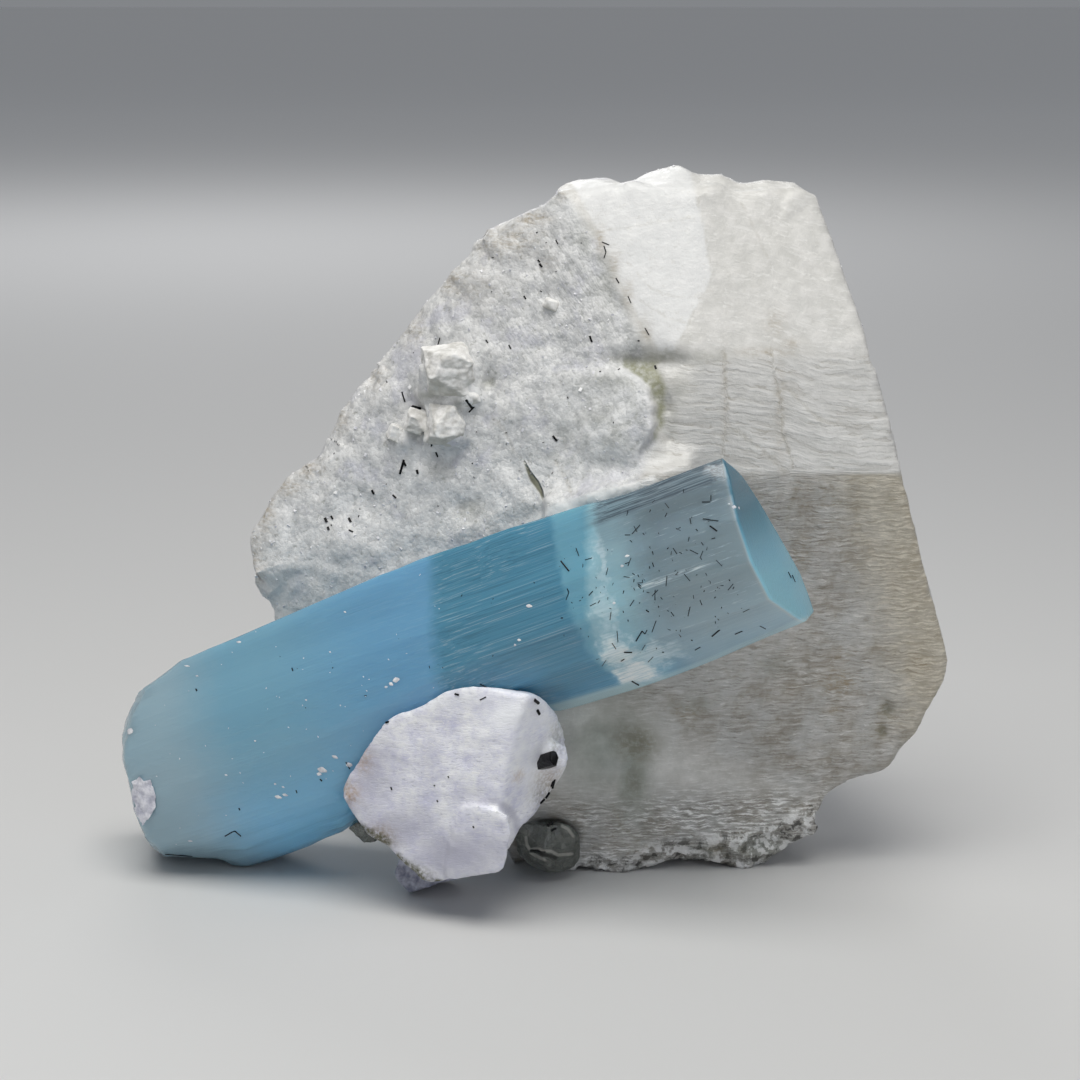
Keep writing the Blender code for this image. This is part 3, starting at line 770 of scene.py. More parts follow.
# The lower face has finer bands, broken into short streaks.
band = stretched(tree, flow, (3.4, 1, 0.34), 2.5, 0.55, 0.2)
streak = stretched(tree, flow, (1.9, 1, 0.27), 3.0, 0.6, 0.35, Location=(0, 3, 0))
# Upright columns, a few millimetres wide, are a little lighter or browner than their neighbours.
column = stretched(tree, mm, (3.4, 1, 14.0), 3.0, 0.6, 0.6)
print("painted masks read:", len(masks))

# %% [markdown]
# ## The feldspar block: the tones of its faces
#
# The calm faces are white with a grey cloud, the crust mixes chalky grains with glassy grey and
# lilac ones, the middle is wrinkled with thin brown lines, and the lower face is banded grey and
# brown. Each is built as its own stone, and the painted kinds of surface choose between them.

# %% The feldspar block: the tones of its faces
white = glaze(
    tree, "#C5C4BF",
    ("#D7D6D3", 1.0, cloud),
    ("#E9E7E4", 0.5, (mottle, 0.42, 0.64)),
    # The bright strip: a cooler, slightly lighter white, partly a painted highlight.
    (glaze(tree, "#D4D5D5", ("#EBEBEA", 1.0, mottle)), 1.0, masks["bright"]),
    ("#F4F3F1", 0.35, (streak, 0.54, 0.66)),
    ("#C6C4BE", 0.35, (speck, 0.42, 0.30)),
)
# The crust: chalky grains, glassy grey ones, and lilac-grey patches, with fibres in one part.
crust = glaze(
    tree, "#DFDFDE",
    ("#AEB0B2", 0.62, (mottle, 0.54, 0.38)),
    ("#F3F3F3", 0.6, (cloud, 0.50, 0.64)),
    (glaze(tree, "#A4A7AA", ("#FBFBFB", 1.0, grain_tone)), 0.30),
    ("#B9BACB", 0.4, (cloud, 0.46, 0.34)),
    ("#9FA09A", 0.6, (speck, 0.40, 0.32)),
    ("#FAFAFA", 0.6, (speck, 0.60, 0.70)),
    ("#A3A49F", 0.5, (fibre, 0.46, 0.34), masks["fibrous"]),
    ("#FAFAFA", 0.7, (fibre, 0.56, 0.68), masks["fibrous"]),
    # Beside the ridge and in the lump the stone is glassier, its white broken edge a painted highlight.
    (glaze(tree, "#999C94", ("#D8DADC", 1.0, (mottle, 0.38, 0.60))), 0.4, masks["lump"]),
    ("#F4F4F6", 0.5, masks["lump_edge"]),
)
wrinkled = glaze(
    tree, white,
    ("#C9C9C8", 0.35),
    ("#AFACA6", 0.34, (wrinkle, 0.46, 0.34)),
    ("#E9E8E6", 0.4, (wrinkle, 0.56, 0.66)),
    ("#938D80", 0.55, (wrinkle, 0.415, 0.39), (wrinkle, 0.365, 0.39), (mottle, 0.40, 0.56)),
)
broken_up = (mottle, 0.34, 0.62, 0.25, 1.0)
banded = glaze(
    tree, "#979289",
    ("#B9B7B3", 1.0, (band, 0.36, 0.60)),
    ("#B9BAB9", 0.7, (cloud, 0.42, 0.60)),
    ("#877F70", 0.55, (mottle, 0.50, 0.36), (cloud, 0.60, 0.44)),
    ("#857F73", 0.22, (column, 0.47, 0.36)),
    ("#C8C6C3", 0.3, (column, 0.52, 0.64)),
    ("#736D62", 0.6, (streak, 0.47, 0.37), broken_up),
    ("#DDDCDA", 0.7, (streak, 0.56, 0.66), broken_up),
    ("#B9AF9A", 0.6, masks["cream"]),
    ("#DDD6C6", 0.7, (streak, 0.48, 0.62), masks["cream"]),
    ("#F8F8F7", 0.95, (streak, 0.51, 0.60), masks["flecked"]),
    ("#77756E", 0.5, (streak, 0.45, 0.35), masks["flecked"]),
)
print("nodes so far:", len(tree.nodes))

# %% [markdown]
# ## The feldspar block: its finish
#
# Stains, painted shade, painted light, cracks and the gash go over the chosen stone. Stains and
# painted shade follow the fine grain, so that they break up instead of fading evenly. The finest
# relief, down to a few hundredths of a millimetre, is a bump: it costs no points and still catches
# the light.

# %% The feldspar block: its finish
crack_gap = add_up(tree, (1.0, masks["crack_gap"]), (9.0, speck))
crease_gap = add_up(tree, (1.0, masks["crease_gap"]), (6.0, speck))
crack = (crack_gap, 7.5, 4.5)
gash = (masks["gash_gap"], 4.0, 2.4)
stone = glaze(
    tree, white,
    (wrinkled, 1.0, masks["middle"]),
    (banded, 1.0, masks["low"]),
    (crust, 1.0, masks["sugar"]),
    (glaze(tree, "#8A9089", ("#B4BAB4", 1.0, (cloud, 0.38, 0.60))), 0.9, masks["glassy"]),
    ("#454541", 0.85, (mottle, 0.45, 0.40), masks["ragged"]),
    ("#FAFAF9", 0.9, (mottle, 0.51, 0.56), masks["ragged"]),
    ("#8E7C5B", 1.0, (streak, 0.60, 0.42, 0.3, 1.0), (speck, 0.60, 0.42, 0.4, 1.0), masks["tan_stain"]),
    # Olive painted shade in the recess, the hollows and under the little blocks.
    ("#7C7D6E", 0.85, (speck, 0.64, 0.46, 0.6, 1.0), masks["olive_shade"]),
    # Painted shadow in the crevice.
    ("#87886B", 0.85, (speck, 0.66, 0.44, 0.5, 1.0), masks["crevice"]),
    # Painted light where the crust falls into shade.
    ("#F1F1F0", 0.5, masks["pale"]),
    ("#F8F8F7", 1.0, masks["rim"]),
    ("#8D846C", 0.24, crack),
    ("#B1ADA2", 0.26, (crease_gap, 5.0, 3.0)),
    ("#F4F4F1", 0.5, (masks["gash_gap"], 6.0, 4.4)),
    ("#6A6A52", 0.9, gash),
)
crust_rise = add_up(tree, (-0.07, grain.outputs["Distance"]), (0.12, fibre, masks["fibrous"]), (0.07, speck))
soft_crust = add_up(tree, (1.0, masks["sugar"]), (-1.0, masks["rim"]))
skin(
    tree, stone,
    (1.0, crust_rise, soft_crust),
    (0.17, wrinkle, masks["middle"]),
    (0.17, streak, masks["low"]),
    (0.5, speck, masks["ragged"]),
    (0.04, fine),
    (0.14, mottle),
    (-0.02, crack),
    (-0.4, gash),
    Roughness=cover(tree, 1.0, (grain_tone, 0.0, 1.0, 0.30, 0.60)), IOR=1.52,
)
matrix.data.materials.append(feldspar)
edit(matrix, lambda: bpy.ops.mesh.normals_make_consistent(inside=False))
modify(matrix, "TRIANGULATE")
select_only(matrix)
bpy.ops.object.shade_smooth()
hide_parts("feldspar_matrix")
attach(matrix, "root")
print("block faces:", len(matrix.data.polygons))

# %% [markdown]
# ## The aquamarine: its shape
#
# Beryl grows as a six-sided prism, and this one is bounded by long faces with growth lines that
# run the whole way along it. The piece is laid along its own axis, cut into narrow strips, and
# each strip is raised or lowered a little the same way from end to end. That is just how a
# striated face grows. Then it goes back to its place across the block.

# %% The aquamarine: its shape
BERYL_PLACE = Vector((22.198, -21.772, 55.0)) * MM
BERYL_TURN = Euler([math.radians(a) for a in (-4.0, -23.0, -18.5)])
STRIP = 0.45

beryl = copy_solid("aquamarine_crystal", "aquamarine")
into_place = Matrix.Translation(BERYL_PLACE) @ BERYL_TURN.to_matrix().to_4x4()
beryl.data.transform(into_place.inverted())
modify(beryl, "BEVEL", width=0.2 * MM, segments=2, limit_method="ANGLE", angle_limit=math.radians(12))


def slice_at(piece, start, stop, step, normal):
    """Cuts a piece by planes across one direction, from start to stop in millimetres."""
    for place in np.arange(start, stop, step):
        spot = [float(place) * MM * c for c in normal]
        edit(piece, lambda: bpy.ops.mesh.bisect(plane_co=spot, plane_no=normal))


slice_at(beryl, -27, 0, STRIP, (0, 0, 1))
slice_at(beryl, -12, 12, STRIP, (0, 1, 0))
slice_at(beryl, -88, 1.2, 2.5, (1, 0, 0))
print("aquamarine faces:", len(beryl.data.polygons))

# %% [markdown]
# ## The aquamarine: its striae and its edge
#
# Smoothing across the axis only rounds the long edges and keeps the two ends sharp. Then clouds
# that are drawn out along the crystal raise its strips, fine ones for striae and broad ones for
# the long swells between them, and the buried end is rougher.

# %% The aquamarine: its striae and its edge
x, y, z = places(beryl)
top_edge = ramp(x, -40, -28) * ramp(z, -2.2, -1.2)
weigh(beryl, "round", (1 - ramp(x, -1.4, -0.6)) * (1 - top_edge))
modify(beryl, "SMOOTH", factor=0.5, iterations=16, use_x=False, vertex_group="round")
weigh(beryl, "cloudy_end", ramp(-x, 36, 50))
modify(beryl, "SMOOTH", factor=0.5, iterations=220, use_x=False, vertex_group="cloudy_end")
weigh(beryl, "faces", 1 - ramp(x, -0.6, 0.4))
relief(beryl, "CLOUDS", (400, 1.1, 1.1), 0.09, "faces", noise_depth=3)
relief(beryl, "CLOUDS", (60, 5.0, 5.0), 0.22, "faces", noise_depth=2)
weigh(beryl, "butt", ramp(-x, 60, 84))
relief(beryl, "CLOUDS", (5, 3, 3), 0.5, "butt", noise_depth=3)
beryl.vertex_groups.clear()
beryl.data.transform(into_place)
fit_outline(beryl, [
    (560, 711), (580, 706), (600, 700), (640, 688), (660, 681), (680, 674), (700, 666), (720, 658),
    (740, 649), (765, 638), (800, 624), (808, 620), (814, 611), (809, 596), (800, 573), (785, 546),
    (760, 503), (744, 478), (734, 467), (722, 458), (700, 466), (650, 485), (620, 496), (580, 506),
    (540, 519), (500, 531), (480, 539), (470, 543), (450, 549), (432, 555), (420, 559), (400, 568),
    (380, 575), (274, 621), (228, 641), (210, 648), (196, 655), (181, 660), (170, 669), (158, 678),
    (139, 691), (134, 700), (130, 710), (125, 721), (122, 733), (122, 760), (127, 776), (131, 794),
    (134, 812), (139, 823), (144, 836), (153, 848), (162, 857), (170, 856), (204, 858), (218, 859),
    (230, 865), (240, 867), (250, 866), (262, 863), (280, 857), (310, 846), (325, 838), (342, 832),
    (360, 840), (560, 760),
], hidden=2, reach=30)
x, y, z = places(beryl)
u, v, step = as_seen(x, y, z)
# A pale ledge along the crystal's foot, painted brighter as a highlight.
LEDGE = [(556, 712), (580, 705), (620, 693), (640, 688)]
LEDGE_END = [(640, 688), (700, 666), (765, 638), (808, 620)]
paint(beryl, "low_rim_highlight", np.maximum(
    ramp(-away_from(u, v, LEDGE), -11, -6), 0.7 * ramp(-away_from(u, v, LEDGE_END), -6, -2),
))
print("points on the ledge along its foot:", int((ramp(-away_from(u, v, LEDGE), -11, -6) > 0.5).sum()))

# %% [markdown]
# ## The aquamarine: its own directions
#
# The crystal changes along its length, and its lines run along it, so its material works in the
# crystal's own millimetres: a Mapping turns each point back to where it lay before the crystal was
# set across the block. Growth lines, hollow tubes and flakes are noise drawn out along the axis.

# %% The aquamarine: its own directions
# Beryl is a clear glassy mineral; what clouds it is thousands of tubes and flakes inside.
aqua, tree, mm = new_material("aquamarine beryl, cloudy to clear, with growth striae")
own = add(
    tree, "ShaderNodeMapping", vector_type="TEXTURE", Vector=mm,
    Location=BERYL_PLACE / MM, Rotation=BERYL_TURN,
)
parts = add(tree, "ShaderNodeSeparateXYZ", Vector=own)
down = cover(tree, -1.0, parts.outputs["Z"])
wisp = add(tree, "ShaderNodeTexNoise", Vector=own, Scale=0.6, Detail=5.0, Roughness=0.6)
axis = add_up(tree, (1.0, parts.outputs["X"]), (2.2, wisp), (-1.1,))
stria = stretched(tree, own, (26, 0.5, 0.5), 4.0, 0.6)
tube = stretched(tree, own, (24, 0.18, 0.18), 3.0, 0.65)
flake = stretched(tree, own, (3.6, 0.26, 0.26), 4.0, 0.7)


def zone(start, over, slope):
    """1 beyond a boundary across the crystal, which slopes back by slope as it goes down."""
    leaning = add_up(tree, (1.0, axis), (slope, down))
    return add(
        tree, "ShaderNodeMapRange", interpolation_type="SMOOTHSTEP", Value=leaning,
        From_Min=start, From_Max=start + over,
    )


def height_band(low_at, high_at):
    """0 at one depth below the top edge and 1 at another."""
    return add(
        tree, "ShaderNodeMapRange", interpolation_type="SMOOTHSTEP", Value=down,
        From_Min=low_at, From_Max=high_at,
    )


print("the axis points to", tuple(round(c, 2) for c in BERYL_TURN.to_matrix() @ Vector((1, 0, 0))))

# %% [markdown]
# ## The aquamarine: its zones
#
# Its buried end is cloudy and pale. Then comes a deep blue stretch full of fine tubes, a pale
# band, and a clear end of nearly colourless beryl. Each zone is a coat: how far it covers, its
# colour, and how clear the stone is there. The cloudy part is painted lighter and bluer towards its
# foot, a painted glow, and the clear end is painted greyer above, painted shade.

# %% The aquamarine: its zones
BUTT_COLOUR = "#9DB9C6"
BUTT_CLEARNESS = 0.1
ZONES = (
    # starts at (mm along the axis), over (mm), slope, colour, clearness
    (-76.0, 12.0, 0.0, "#80B1C8", 0.12),
    (-62.0, 20.0, 0.0, "#79B1D5", 0.20),
    (-37.4, 2.8, 0.2, "#69ACC9", 0.38),
    (-20.6, 1.2, 0.05, "#8CCBE2", 0.40),
    (-15.9, 1.4, 0.30, "#B8E5F2", 0.38),
    (-13.0, 6.5, 0.22, "#C6DAE2", 0.72),
)
beryl_coats = [(zone(start, over, slope), tone, clearness) for start, over, slope, tone, clearness in ZONES]
# Painted glow: the cloudy part is painted lighter and bluer towards its foot.
painted_glow = cover(tree, 0.75, zone(-80.0, 14.0, 0.0), height_band(13.0, 25.0))
# Painted shade: the clear end is painted greyer above.
painted_shade_above = cover(tree, 0.6, zone(-15.0, 1.4, 0.24), (height_band(3.0, 11.0), 1.0, 0.0))
beryl_coats += [(painted_glow, "#8FD6FF", None), (painted_shade_above, "#9DAFB9", None)]
# Long dark and pale tubes in the deep blue stretch.
striated = cover(tree, 1.0, zone(-36.9, 2.0, 0.2), (zone(-21.5, 2.0, 0.05), 1.0, 0.0))
tubes = add(
    tree, "ShaderNodeMath", operation="MAXIMUM", _0=striated, _1=cover(tree, 0.16, zone(-60.0, 25.0, 0.0)),
)
beryl_coats += [
    (cover(tree, 0.34, (tube, 0.48, 0.38), striated), "#426C80", None),
    (cover(tree, 0.5, (tube, 0.575, 0.64), tubes), "#CBE3EC", None),
]
print("the colour changes over", len(ZONES), "boundaries")

# %% [markdown]
# ## The aquamarine: its veil and wisps
#
# Where the blue stretch ends, a white veil hangs through the crystal: a chain of ragged patches
# that thickens downwards. Pale wisps run on into the clear end, thickest along one streak, and the
# lower half of the clear end is painted paler, painted light. Patches are bent by noise, so that
# none of them looks round.

# %% The aquamarine: its veil and wisps
PATCH_EDGE = (1.25, 0.35)  # bare and full, in shares of its size
VEIL_PATCHES = (
    # (mm along the axis, mm below the top edge, width, height), strength
    ((-17.8, 16.6, 2.2, 2.8), 0.85),
    ((-16.6, 11.6, 1.5, 3.0), 0.4),
    ((-15.4, 6.4, 1.0, 3.2), 0.35),
    ((-14.6, 18.6, 3.4, 1.8), 0.6),
)
bent_own = add(
    tree, "ShaderNodeVectorMath", operation="MULTIPLY_ADD",
    _0=wisp.outputs["Color"], _1=(6.0, 0.0, 5.0), _2=own,
)
bent_own = add(tree, "ShaderNodeVectorMath", operation="ADD", _0=bent_own, _1=(-3.0, 0.0, -2.5))


def patch(along, depth, wide, high):
    """A soft ragged patch round a place on the crystal's front, in millimetres."""
    space = add(
        tree, "ShaderNodeMapping", vector_type="TEXTURE", Vector=bent_own,
        Location=(along, 0, -depth), Scale=(wide, 1000, high),
    )
    away = add(tree, "ShaderNodeVectorMath", operation="LENGTH", _0=space)
    return add(
        tree, "ShaderNodeMapRange", interpolation_type="SMOOTHSTEP", Value=away,
        From_Min=PATCH_EDGE[0], From_Max=PATCH_EDGE[1],
    )


veil = patch(-19.0, 20.0, 3.6, 2.4)
for place, strength in VEIL_PATCHES:
    weaker = cover(tree, strength, patch(*place))
    veil = add(tree, "ShaderNodeMath", operation="MAXIMUM", _0=veil, _1=weaker)
veil = cover(tree, 1.0, veil, zone(-15.4, 0.9, 0.30), (flake, 0.34, 0.54, 0.45, 1.0))
wisps = cover(tree, 0.4, zone(-13.0, 3.0, 0.2), (flake, 0.60, 0.74))
# Painted light: the lower half of the clear end is painted paler and made less clear.
low_painted_light = cover(tree, 0.5, zone(-15.0, 4.0, 0.0), height_band(11.0, 19.0))
off_streak = add(tree, "ShaderNodeMath", operation="ABSOLUTE", _0=add_up(tree, (1.0, down), (-10.6,)))
streak = cover(
    tree, 0.65, zone(-13.0, 2.0, 0.0), (zone(-5.0, 2.5, 0.0), 1.0, 0.0),
    (off_streak, 0.5, 0.1), (flake, 0.42, 0.60),
)
beryl_coats += [
    (veil, "#F4FBFE", 0.0),
    (wisps, "#F0F4F6", 0.2),
    (low_painted_light, "#D6ECF4", 0.3),
    (streak, "#F2F7F9", 0.1),
]
print("coats so far:", len(beryl_coats))

# %% [markdown]
# ## The aquamarine: its top face and tip
#
# The narrow top face of the clear end is heavily lined and painted dark, a painted reflection. The
# tip is painted deep blue above and lighter below, painted shade and light, with a painted
# highlight along its edge, and a pale ledge with a painted highlight runs along the foot of the
# crystal.

# %% The aquamarine: its top face and tip
on_side = add(tree, "ShaderNodeMath", operation="LESS_THAN", _0=parts.outputs["X"], _1=1.1)
# Painted reflection: the narrow top face of the clear end is painted dark.
top_face = cover(tree, 1.0, zone(-17.5, 5.0, 0.0), (height_band(2.1, 2.7), 1.0, 0.0), on_side)
tip = cover(tree, 1.0, (parts.outputs["X"], 1.15, 1.45))
# The tip's colour, painted darker above and lighter below: painted shade and painted light.
tip_tone = glaze(
    tree, "#3F8099",
    ("#9FE2FC", 1.0, height_band(4.0, 15.0)),
    ("#B5DDF2", 0.45, (parts.outputs["Y"], 1.0, 7.0)),
)
# Painted highlight along the tip's edge.
tip_edge_highlight = cover(tree, 0.8, (parts.outputs["X"], 0.9, 1.2), (tip, 1.0, 0.0), height_band(2.0, 6.0))
beryl_coats += [
    # The painted reflection on the top face.
    (cover(tree, 1.0, top_face, (tube, 0.58, 0.42, 0.35, 0.9)), "#56636F", None),
    (cover(tree, 0.7, top_face), None, 0.2),
    (tip, tip_tone, 0.35),
    (tip_edge_highlight, "#DCE8EC", None),
    # The pale ledge, painted brighter as a highlight.
    (painted(tree, "low_rim_highlight")["low_rim_highlight"], "#BFDCE3", 0.15),
]
print("coats in all:", len(beryl_coats))

# %% [markdown]
# ## The aquamarine: its finish
#
# Beryl bends light by 1.577, a little more than window glass. The material is one glassy surface
# whose colour and clearness follow the coats, with light scattered under the cloudy part and a
# faint blue in the depth. A bump of a few hundredths of a millimetre gives the striae.

# %% The aquamarine: its finish
BERYL_IOR = 1.577
CLOUD_DEPTH = 3.0 * MM

colour, clear = BUTT_COLOUR, BUTT_CLEARNESS
for share, tone, clearness in beryl_coats:
    if tone is not None:
        colour = glaze(tree, colour, (tone, 1.0, share))
    if clearness is not None:
        clear = add(tree, "ShaderNodeMix", Factor=share, A=clear, B=clearness)
skin(
    tree, colour, (0.06, stria), (0.03, tube, striated),
    volume=add(tree, "ShaderNodeVolumeAbsorption", Color=linear("#A9CDDD"), Density=14.0),
    Transmission_Weight=clear, Roughness=0.14, IOR=BERYL_IOR,
    Subsurface_Weight=0.6, Subsurface_Radius=(1.0, 1.0, 1.0), Subsurface_Scale=CLOUD_DEPTH,
)
beryl.data.materials.append(aqua)
select_only(beryl)
bpy.ops.object.shade_smooth_by_angle(angle=math.radians(24))
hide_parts("aquamarine_crystal")
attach(beryl, "root")
print("nodes in the beryl:", len(tree.nodes))

# %% [markdown]
# ## Chips, grains and needles: how they are made
#
# Small crystals come in dozens or hundreds, so each kind is modelled once as a simple solid and
# set many times into one mesh. A ray sent at a larger piece finds the spot where each one sits,
# so nothing floats.

# %% Chips, grains and needles: how they are made
def scatter(name, template, settings):
    """One piece made of many copies of a template, each set by its own matrix. The template goes."""
    shape = numbers(template.data.vertices, "co", 3)
    faces = [tuple(face.vertices) for face in template.data.polygons]
    points, corners = [], []
    for number, setting in enumerate(settings):
        turned = np.array(setting)
        points.append(shape @ turned[:3, :3].T + turned[:3, 3])
        corners += [tuple(i + number * len(shape) for i in face) for face in faces]
    mesh = bpy.data.meshes.new(name)
    mesh.from_pydata(np.concatenate(points).tolist(), [], corners)
    piece = bpy.data.objects.new(name, mesh)
    bpy.context.scene.collection.objects.link(piece)
    bpy.data.objects.remove(template)
    return piece


def setting(point, along, size, spin=0.0):
    """A matrix that stands a template at a point, its Z along a direction, at a size in millimetres."""
    turn = Vector(along).to_track_quat("Z", "Y").to_matrix().to_4x4()
    return (
        Matrix.Translation(point) @ turn @ Matrix.Rotation(spin, 4, "Z")
        @ Matrix.Diagonal((*(s * MM for s in size), 1.0))
    )


def needle_template():
    """A six-sided rod one unit long and thick, with a slanting broken end."""
    bpy.ops.object.select_all(action="DESELECT")
    bpy.ops.mesh.primitive_cylinder_add(vertices=6, radius=0.5, depth=1.0)
    rod = bpy.context.object
    for point in rod.data.vertices:
        if point.co.z > 0:
            point.co.z += 0.12 * point.co.x
    return rod


def grain_template():
    """A small cleaved block with uneven corners."""
    bpy.ops.object.select_all(action="DESELECT")
    bpy.ops.mesh.primitive_cube_add(size=1.0)
    block = bpy.context.object
    for point in block.data.vertices:
        point.co.x *= 0.75 + 0.25 * point.co.z
        point.co.y *= 0.8 - 0.2 * point.co.x
    return block


def chip(name, place, size, turn, cuts):
    """A broken crystal: a block of this size at a place in mm, cut by planes (nx, ny, nz, distance)."""
    bpy.ops.object.select_all(action="DESELECT")
    bpy.ops.mesh.primitive_cube_add(size=1.0)
    piece = bpy.context.object
    piece.name = name
    piece.scale = Vector(size) * MM
    bpy.ops.object.transform_apply(location=False, rotation=False, scale=True)
    for nx, ny, nz, distance in cuts:
        normal = Vector((nx, ny, nz)).normalized()
        edit(piece, lambda: bpy.ops.mesh.bisect(
            plane_co=normal * distance * MM, plane_no=normal, use_fill=True, clear_outer=True,
        ))
    piece.data.transform(Euler([math.radians(a) for a in turn]).to_matrix().to_4x4())
    piece.data.transform(Matrix.Translation(Vector(place) * MM))
    return piece


print("a needle has", len(needle_template().data.polygons), "faces")
bpy.data.objects.remove(bpy.context.object)

# %% [markdown]
# ## Finishing a piece
#
# Every small piece ends the same way: it gets its one material, its flat faces stay flat under a
# crease angle, the solids it replaces are hidden, and it is hung from the root.

# %% Finishing a piece
def finish_piece(piece, material, slot, *nodes, smooth=None):
    """Gives a piece its material, hides the solids it replaces and hangs it from the root."""
    piece.data.materials.clear()
    piece.data.materials.append(material)
    if smooth is not None:
        select_only(piece)
        bpy.ops.object.shade_smooth_by_angle(angle=math.radians(smooth))
    if nodes:
        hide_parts(*nodes)
    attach(piece, "root")


def grow(piece, times, shift):
    """Scales a piece about the middle of its box and moves it by shift in millimetres."""
    middle = sum((Vector(corner) for corner in piece.bound_box), Vector()) / 8
    moved = Matrix.Translation(middle + Vector(shift) * MM)
    piece.data.transform(moved @ Matrix.Scale(times, 4) @ Matrix.Translation(-middle))


print("ready to finish pieces; dressed so far:", matrix.name, "and", beryl.name)

# %% [markdown]
# ## The front feldspar
#
# A fresh white crystal leans against the beryl. Its faces are pearly, because light comes back
# from many thin cleavage layers, and a plate has split off its lower right. It has tan stains, and
# olive painted shade, where it meets its neighbours.

# %% The front feldspar
PLUG_GROWTH = 1.3
PLUG_SHIFT = (0, 0.7, 0)  # mm, towards the inside

front_crystal = copy_solid("feldspar_front_crystal", "front_feldspar")
# The stone has grown tight round the schorl stub, so its socket is closed from inside first.
plug = copy_solid("schorl_crystal", "plug")
grow(plug, PLUG_GROWTH, PLUG_SHIFT)
select_only(front_crystal)
plug.select_set(True)
bpy.ops.object.join()
modify(front_crystal, "REMESH", mode="VOXEL", voxel_size=0.36 * MM)
modify(front_crystal, "SMOOTH", factor=0.5, iterations=14)
relief(front_crystal, "CLOUDS", (6, 6, 4), 0.5, noise_depth=2)
relief(front_crystal, "CLOUDS", (2.0, 2.0, 1.0), 0.22, noise_depth=3)
fit_outline(front_crystal, [
    (342, 794), (345, 784), (350, 774), (358, 763), (363, 754), (370, 743), (384, 724), (392, 717),
    (400, 712), (412, 710), (424, 705), (438, 695), (450, 690), (466, 687), (476, 686), (498, 688),
    (530, 692), (542, 698), (550, 706), (558, 717), (563, 730), (566, 746), (568, 760), (565, 770),
    (558, 782), (550, 792), (542, 802), (535, 814), (528, 822), (520, 825), (518, 834), (510, 846),
    (506, 860), (502, 872), (474, 876), (450, 880), (426, 883), (418, 876), (410, 868), (400, 860),
    (390, 848), (387, 845), (378, 841), (370, 838), (360, 824), (350, 809),
], reach=30)
print("front feldspar points:", len(front_crystal.data.vertices))

# %% [markdown]
# ## The front feldspar: its marks
#
# Its crest is painted whitest, a painted highlight. Its foot and left end are painted in shade, as
# is a split that runs along one cleavage at its lower right, and tan stain and olive painted shade
# sit where it meets its neighbours.

# %% The front feldspar: its marks
x, y, z = places(front_crystal)
u, v, step = as_seen(x, y, z)
SPLIT_END = [(480, 802), (496, 801), (510, 810), (516, 820), (517, 830)]
SEAMS = ([(398, 858), (412, 870), (424, 880), (440, 884)], [(357, 826), (370, 834), (386, 842)])
# Painted highlight on the crest.
paint(front_crystal, "crest_highlight", spots(
    u, v, (508, 715, 24, 22, 1.0), (520, 745, 14, 40, 0.6), (536, 716, 22, 22, 0.6), (540, 770, 24, 30, 0.8),
    (450, 700, 40, 10, 0.6),
))
# Painted shade on the left end, the foot and the split.
low_shade = spots(
    u, v, (370, 780, 26, 50, 0.7), (455, 855, 60, 26, 0.9), (400, 830, 40, 26, 0.8), (430, 760, 12, 26, 0.3),
    (470, 800, 20, 10, 0.4),
)
paint(front_crystal, "shade", np.maximum(low_shade, 0.7 * ramp(-away_from(u, v, SPLIT_END), -6, -1)))
paint(front_crystal, "seam", ramp(-away_from(u, v, *SEAMS), -6, -3))
paint(front_crystal, "tan_stain", spots(
    x, z, (-20.6, 14.6, 1.2, 1.4, 0.9), (-18.9, 18.8, 1.1, 1.6, 0.6), (2.8, 16.5, 1.6, 2.6, 0.5),
    (-0.8, 18.4, 0.7, 0.8, 0.5), (-16.9, 9.8, 1.6, 1.4, 0.6),
))
# Olive painted shade where it meets its neighbours.
paint(front_crystal, "olive_shade", spots(
    x, z, (-17.0, 9.6, 1.8, 1.1, 0.8), (-13.6, 6.2, 2.6, 0.8, 0.9), (3.6, 21.5, 0.9, 2.4, 0.5),
    (2.0, 14.6, 1.4, 2.6, 0.5),
))
print("attributes:", len(front_crystal.data.attributes))

# %% [markdown]
# ## The front feldspar: its stone
#
# Fresh feldspar cleaves into thin layers, and light comes back from many of them at once. That
# gives a soft pearly white, and short flecks along the layers. Its lilac shadows are painted shade.

# %% The front feldspar: its stone
# Pearly faces: a mid roughness, and flecks that are whiter or duller than the stone.
pearl, tree, mm = new_material("fresh white feldspar, pearly")
masks = painted(tree, "tan_stain", "olive_shade", "crest_highlight", "shade", "seam")
soft = add(tree, "ShaderNodeTexNoise", Vector=mm, Scale=0.4, Detail=5.0, Roughness=0.65)
fine = add(tree, "ShaderNodeTexNoise", Vector=mm, Scale=2.2, Detail=4.0, Roughness=0.6)
fleck = stretched(tree, mm, (0.8, 1, 0.22), 4.0, 0.6, 0.8, Rotation=(0, -0.1, 0))
stain_grain = (fine, 0.35, 0.6, 0.2, 1.0)
stone = glaze(
    tree, "#D4D5EA",
    ("#FBFCFF", 1.0, (soft, 0.34, 0.64)),
    ("#FFFFFF", 0.7, (fleck, 0.54, 0.68)),
    ("#A9A9B8", 0.5, (fleck, 0.44, 0.30)),
    # Painted shade, lilac-grey.
    ("#B9B9C9", 1.0, masks["shade"]),
    # The painted highlight on the crest.
    ("#F8FAFF", 1.0, masks["crest_highlight"]),
    ("#A3825A", 1.0, stain_grain, masks["tan_stain"]),
    # Olive painted shade in the joints.
    ("#5E5E48", 1.0, stain_grain, masks["olive_shade"]),
    ("#55553A", 1.0, stain_grain, masks["seam"]),
)
skin(tree, stone, (0.09, fleck), (0.03, fine), Roughness=0.36, IOR=1.53)
modify(front_crystal, "TRIANGULATE")
finish_piece(front_crystal, pearl, "white_feldspar", "feldspar_front_crystal", smooth=30)
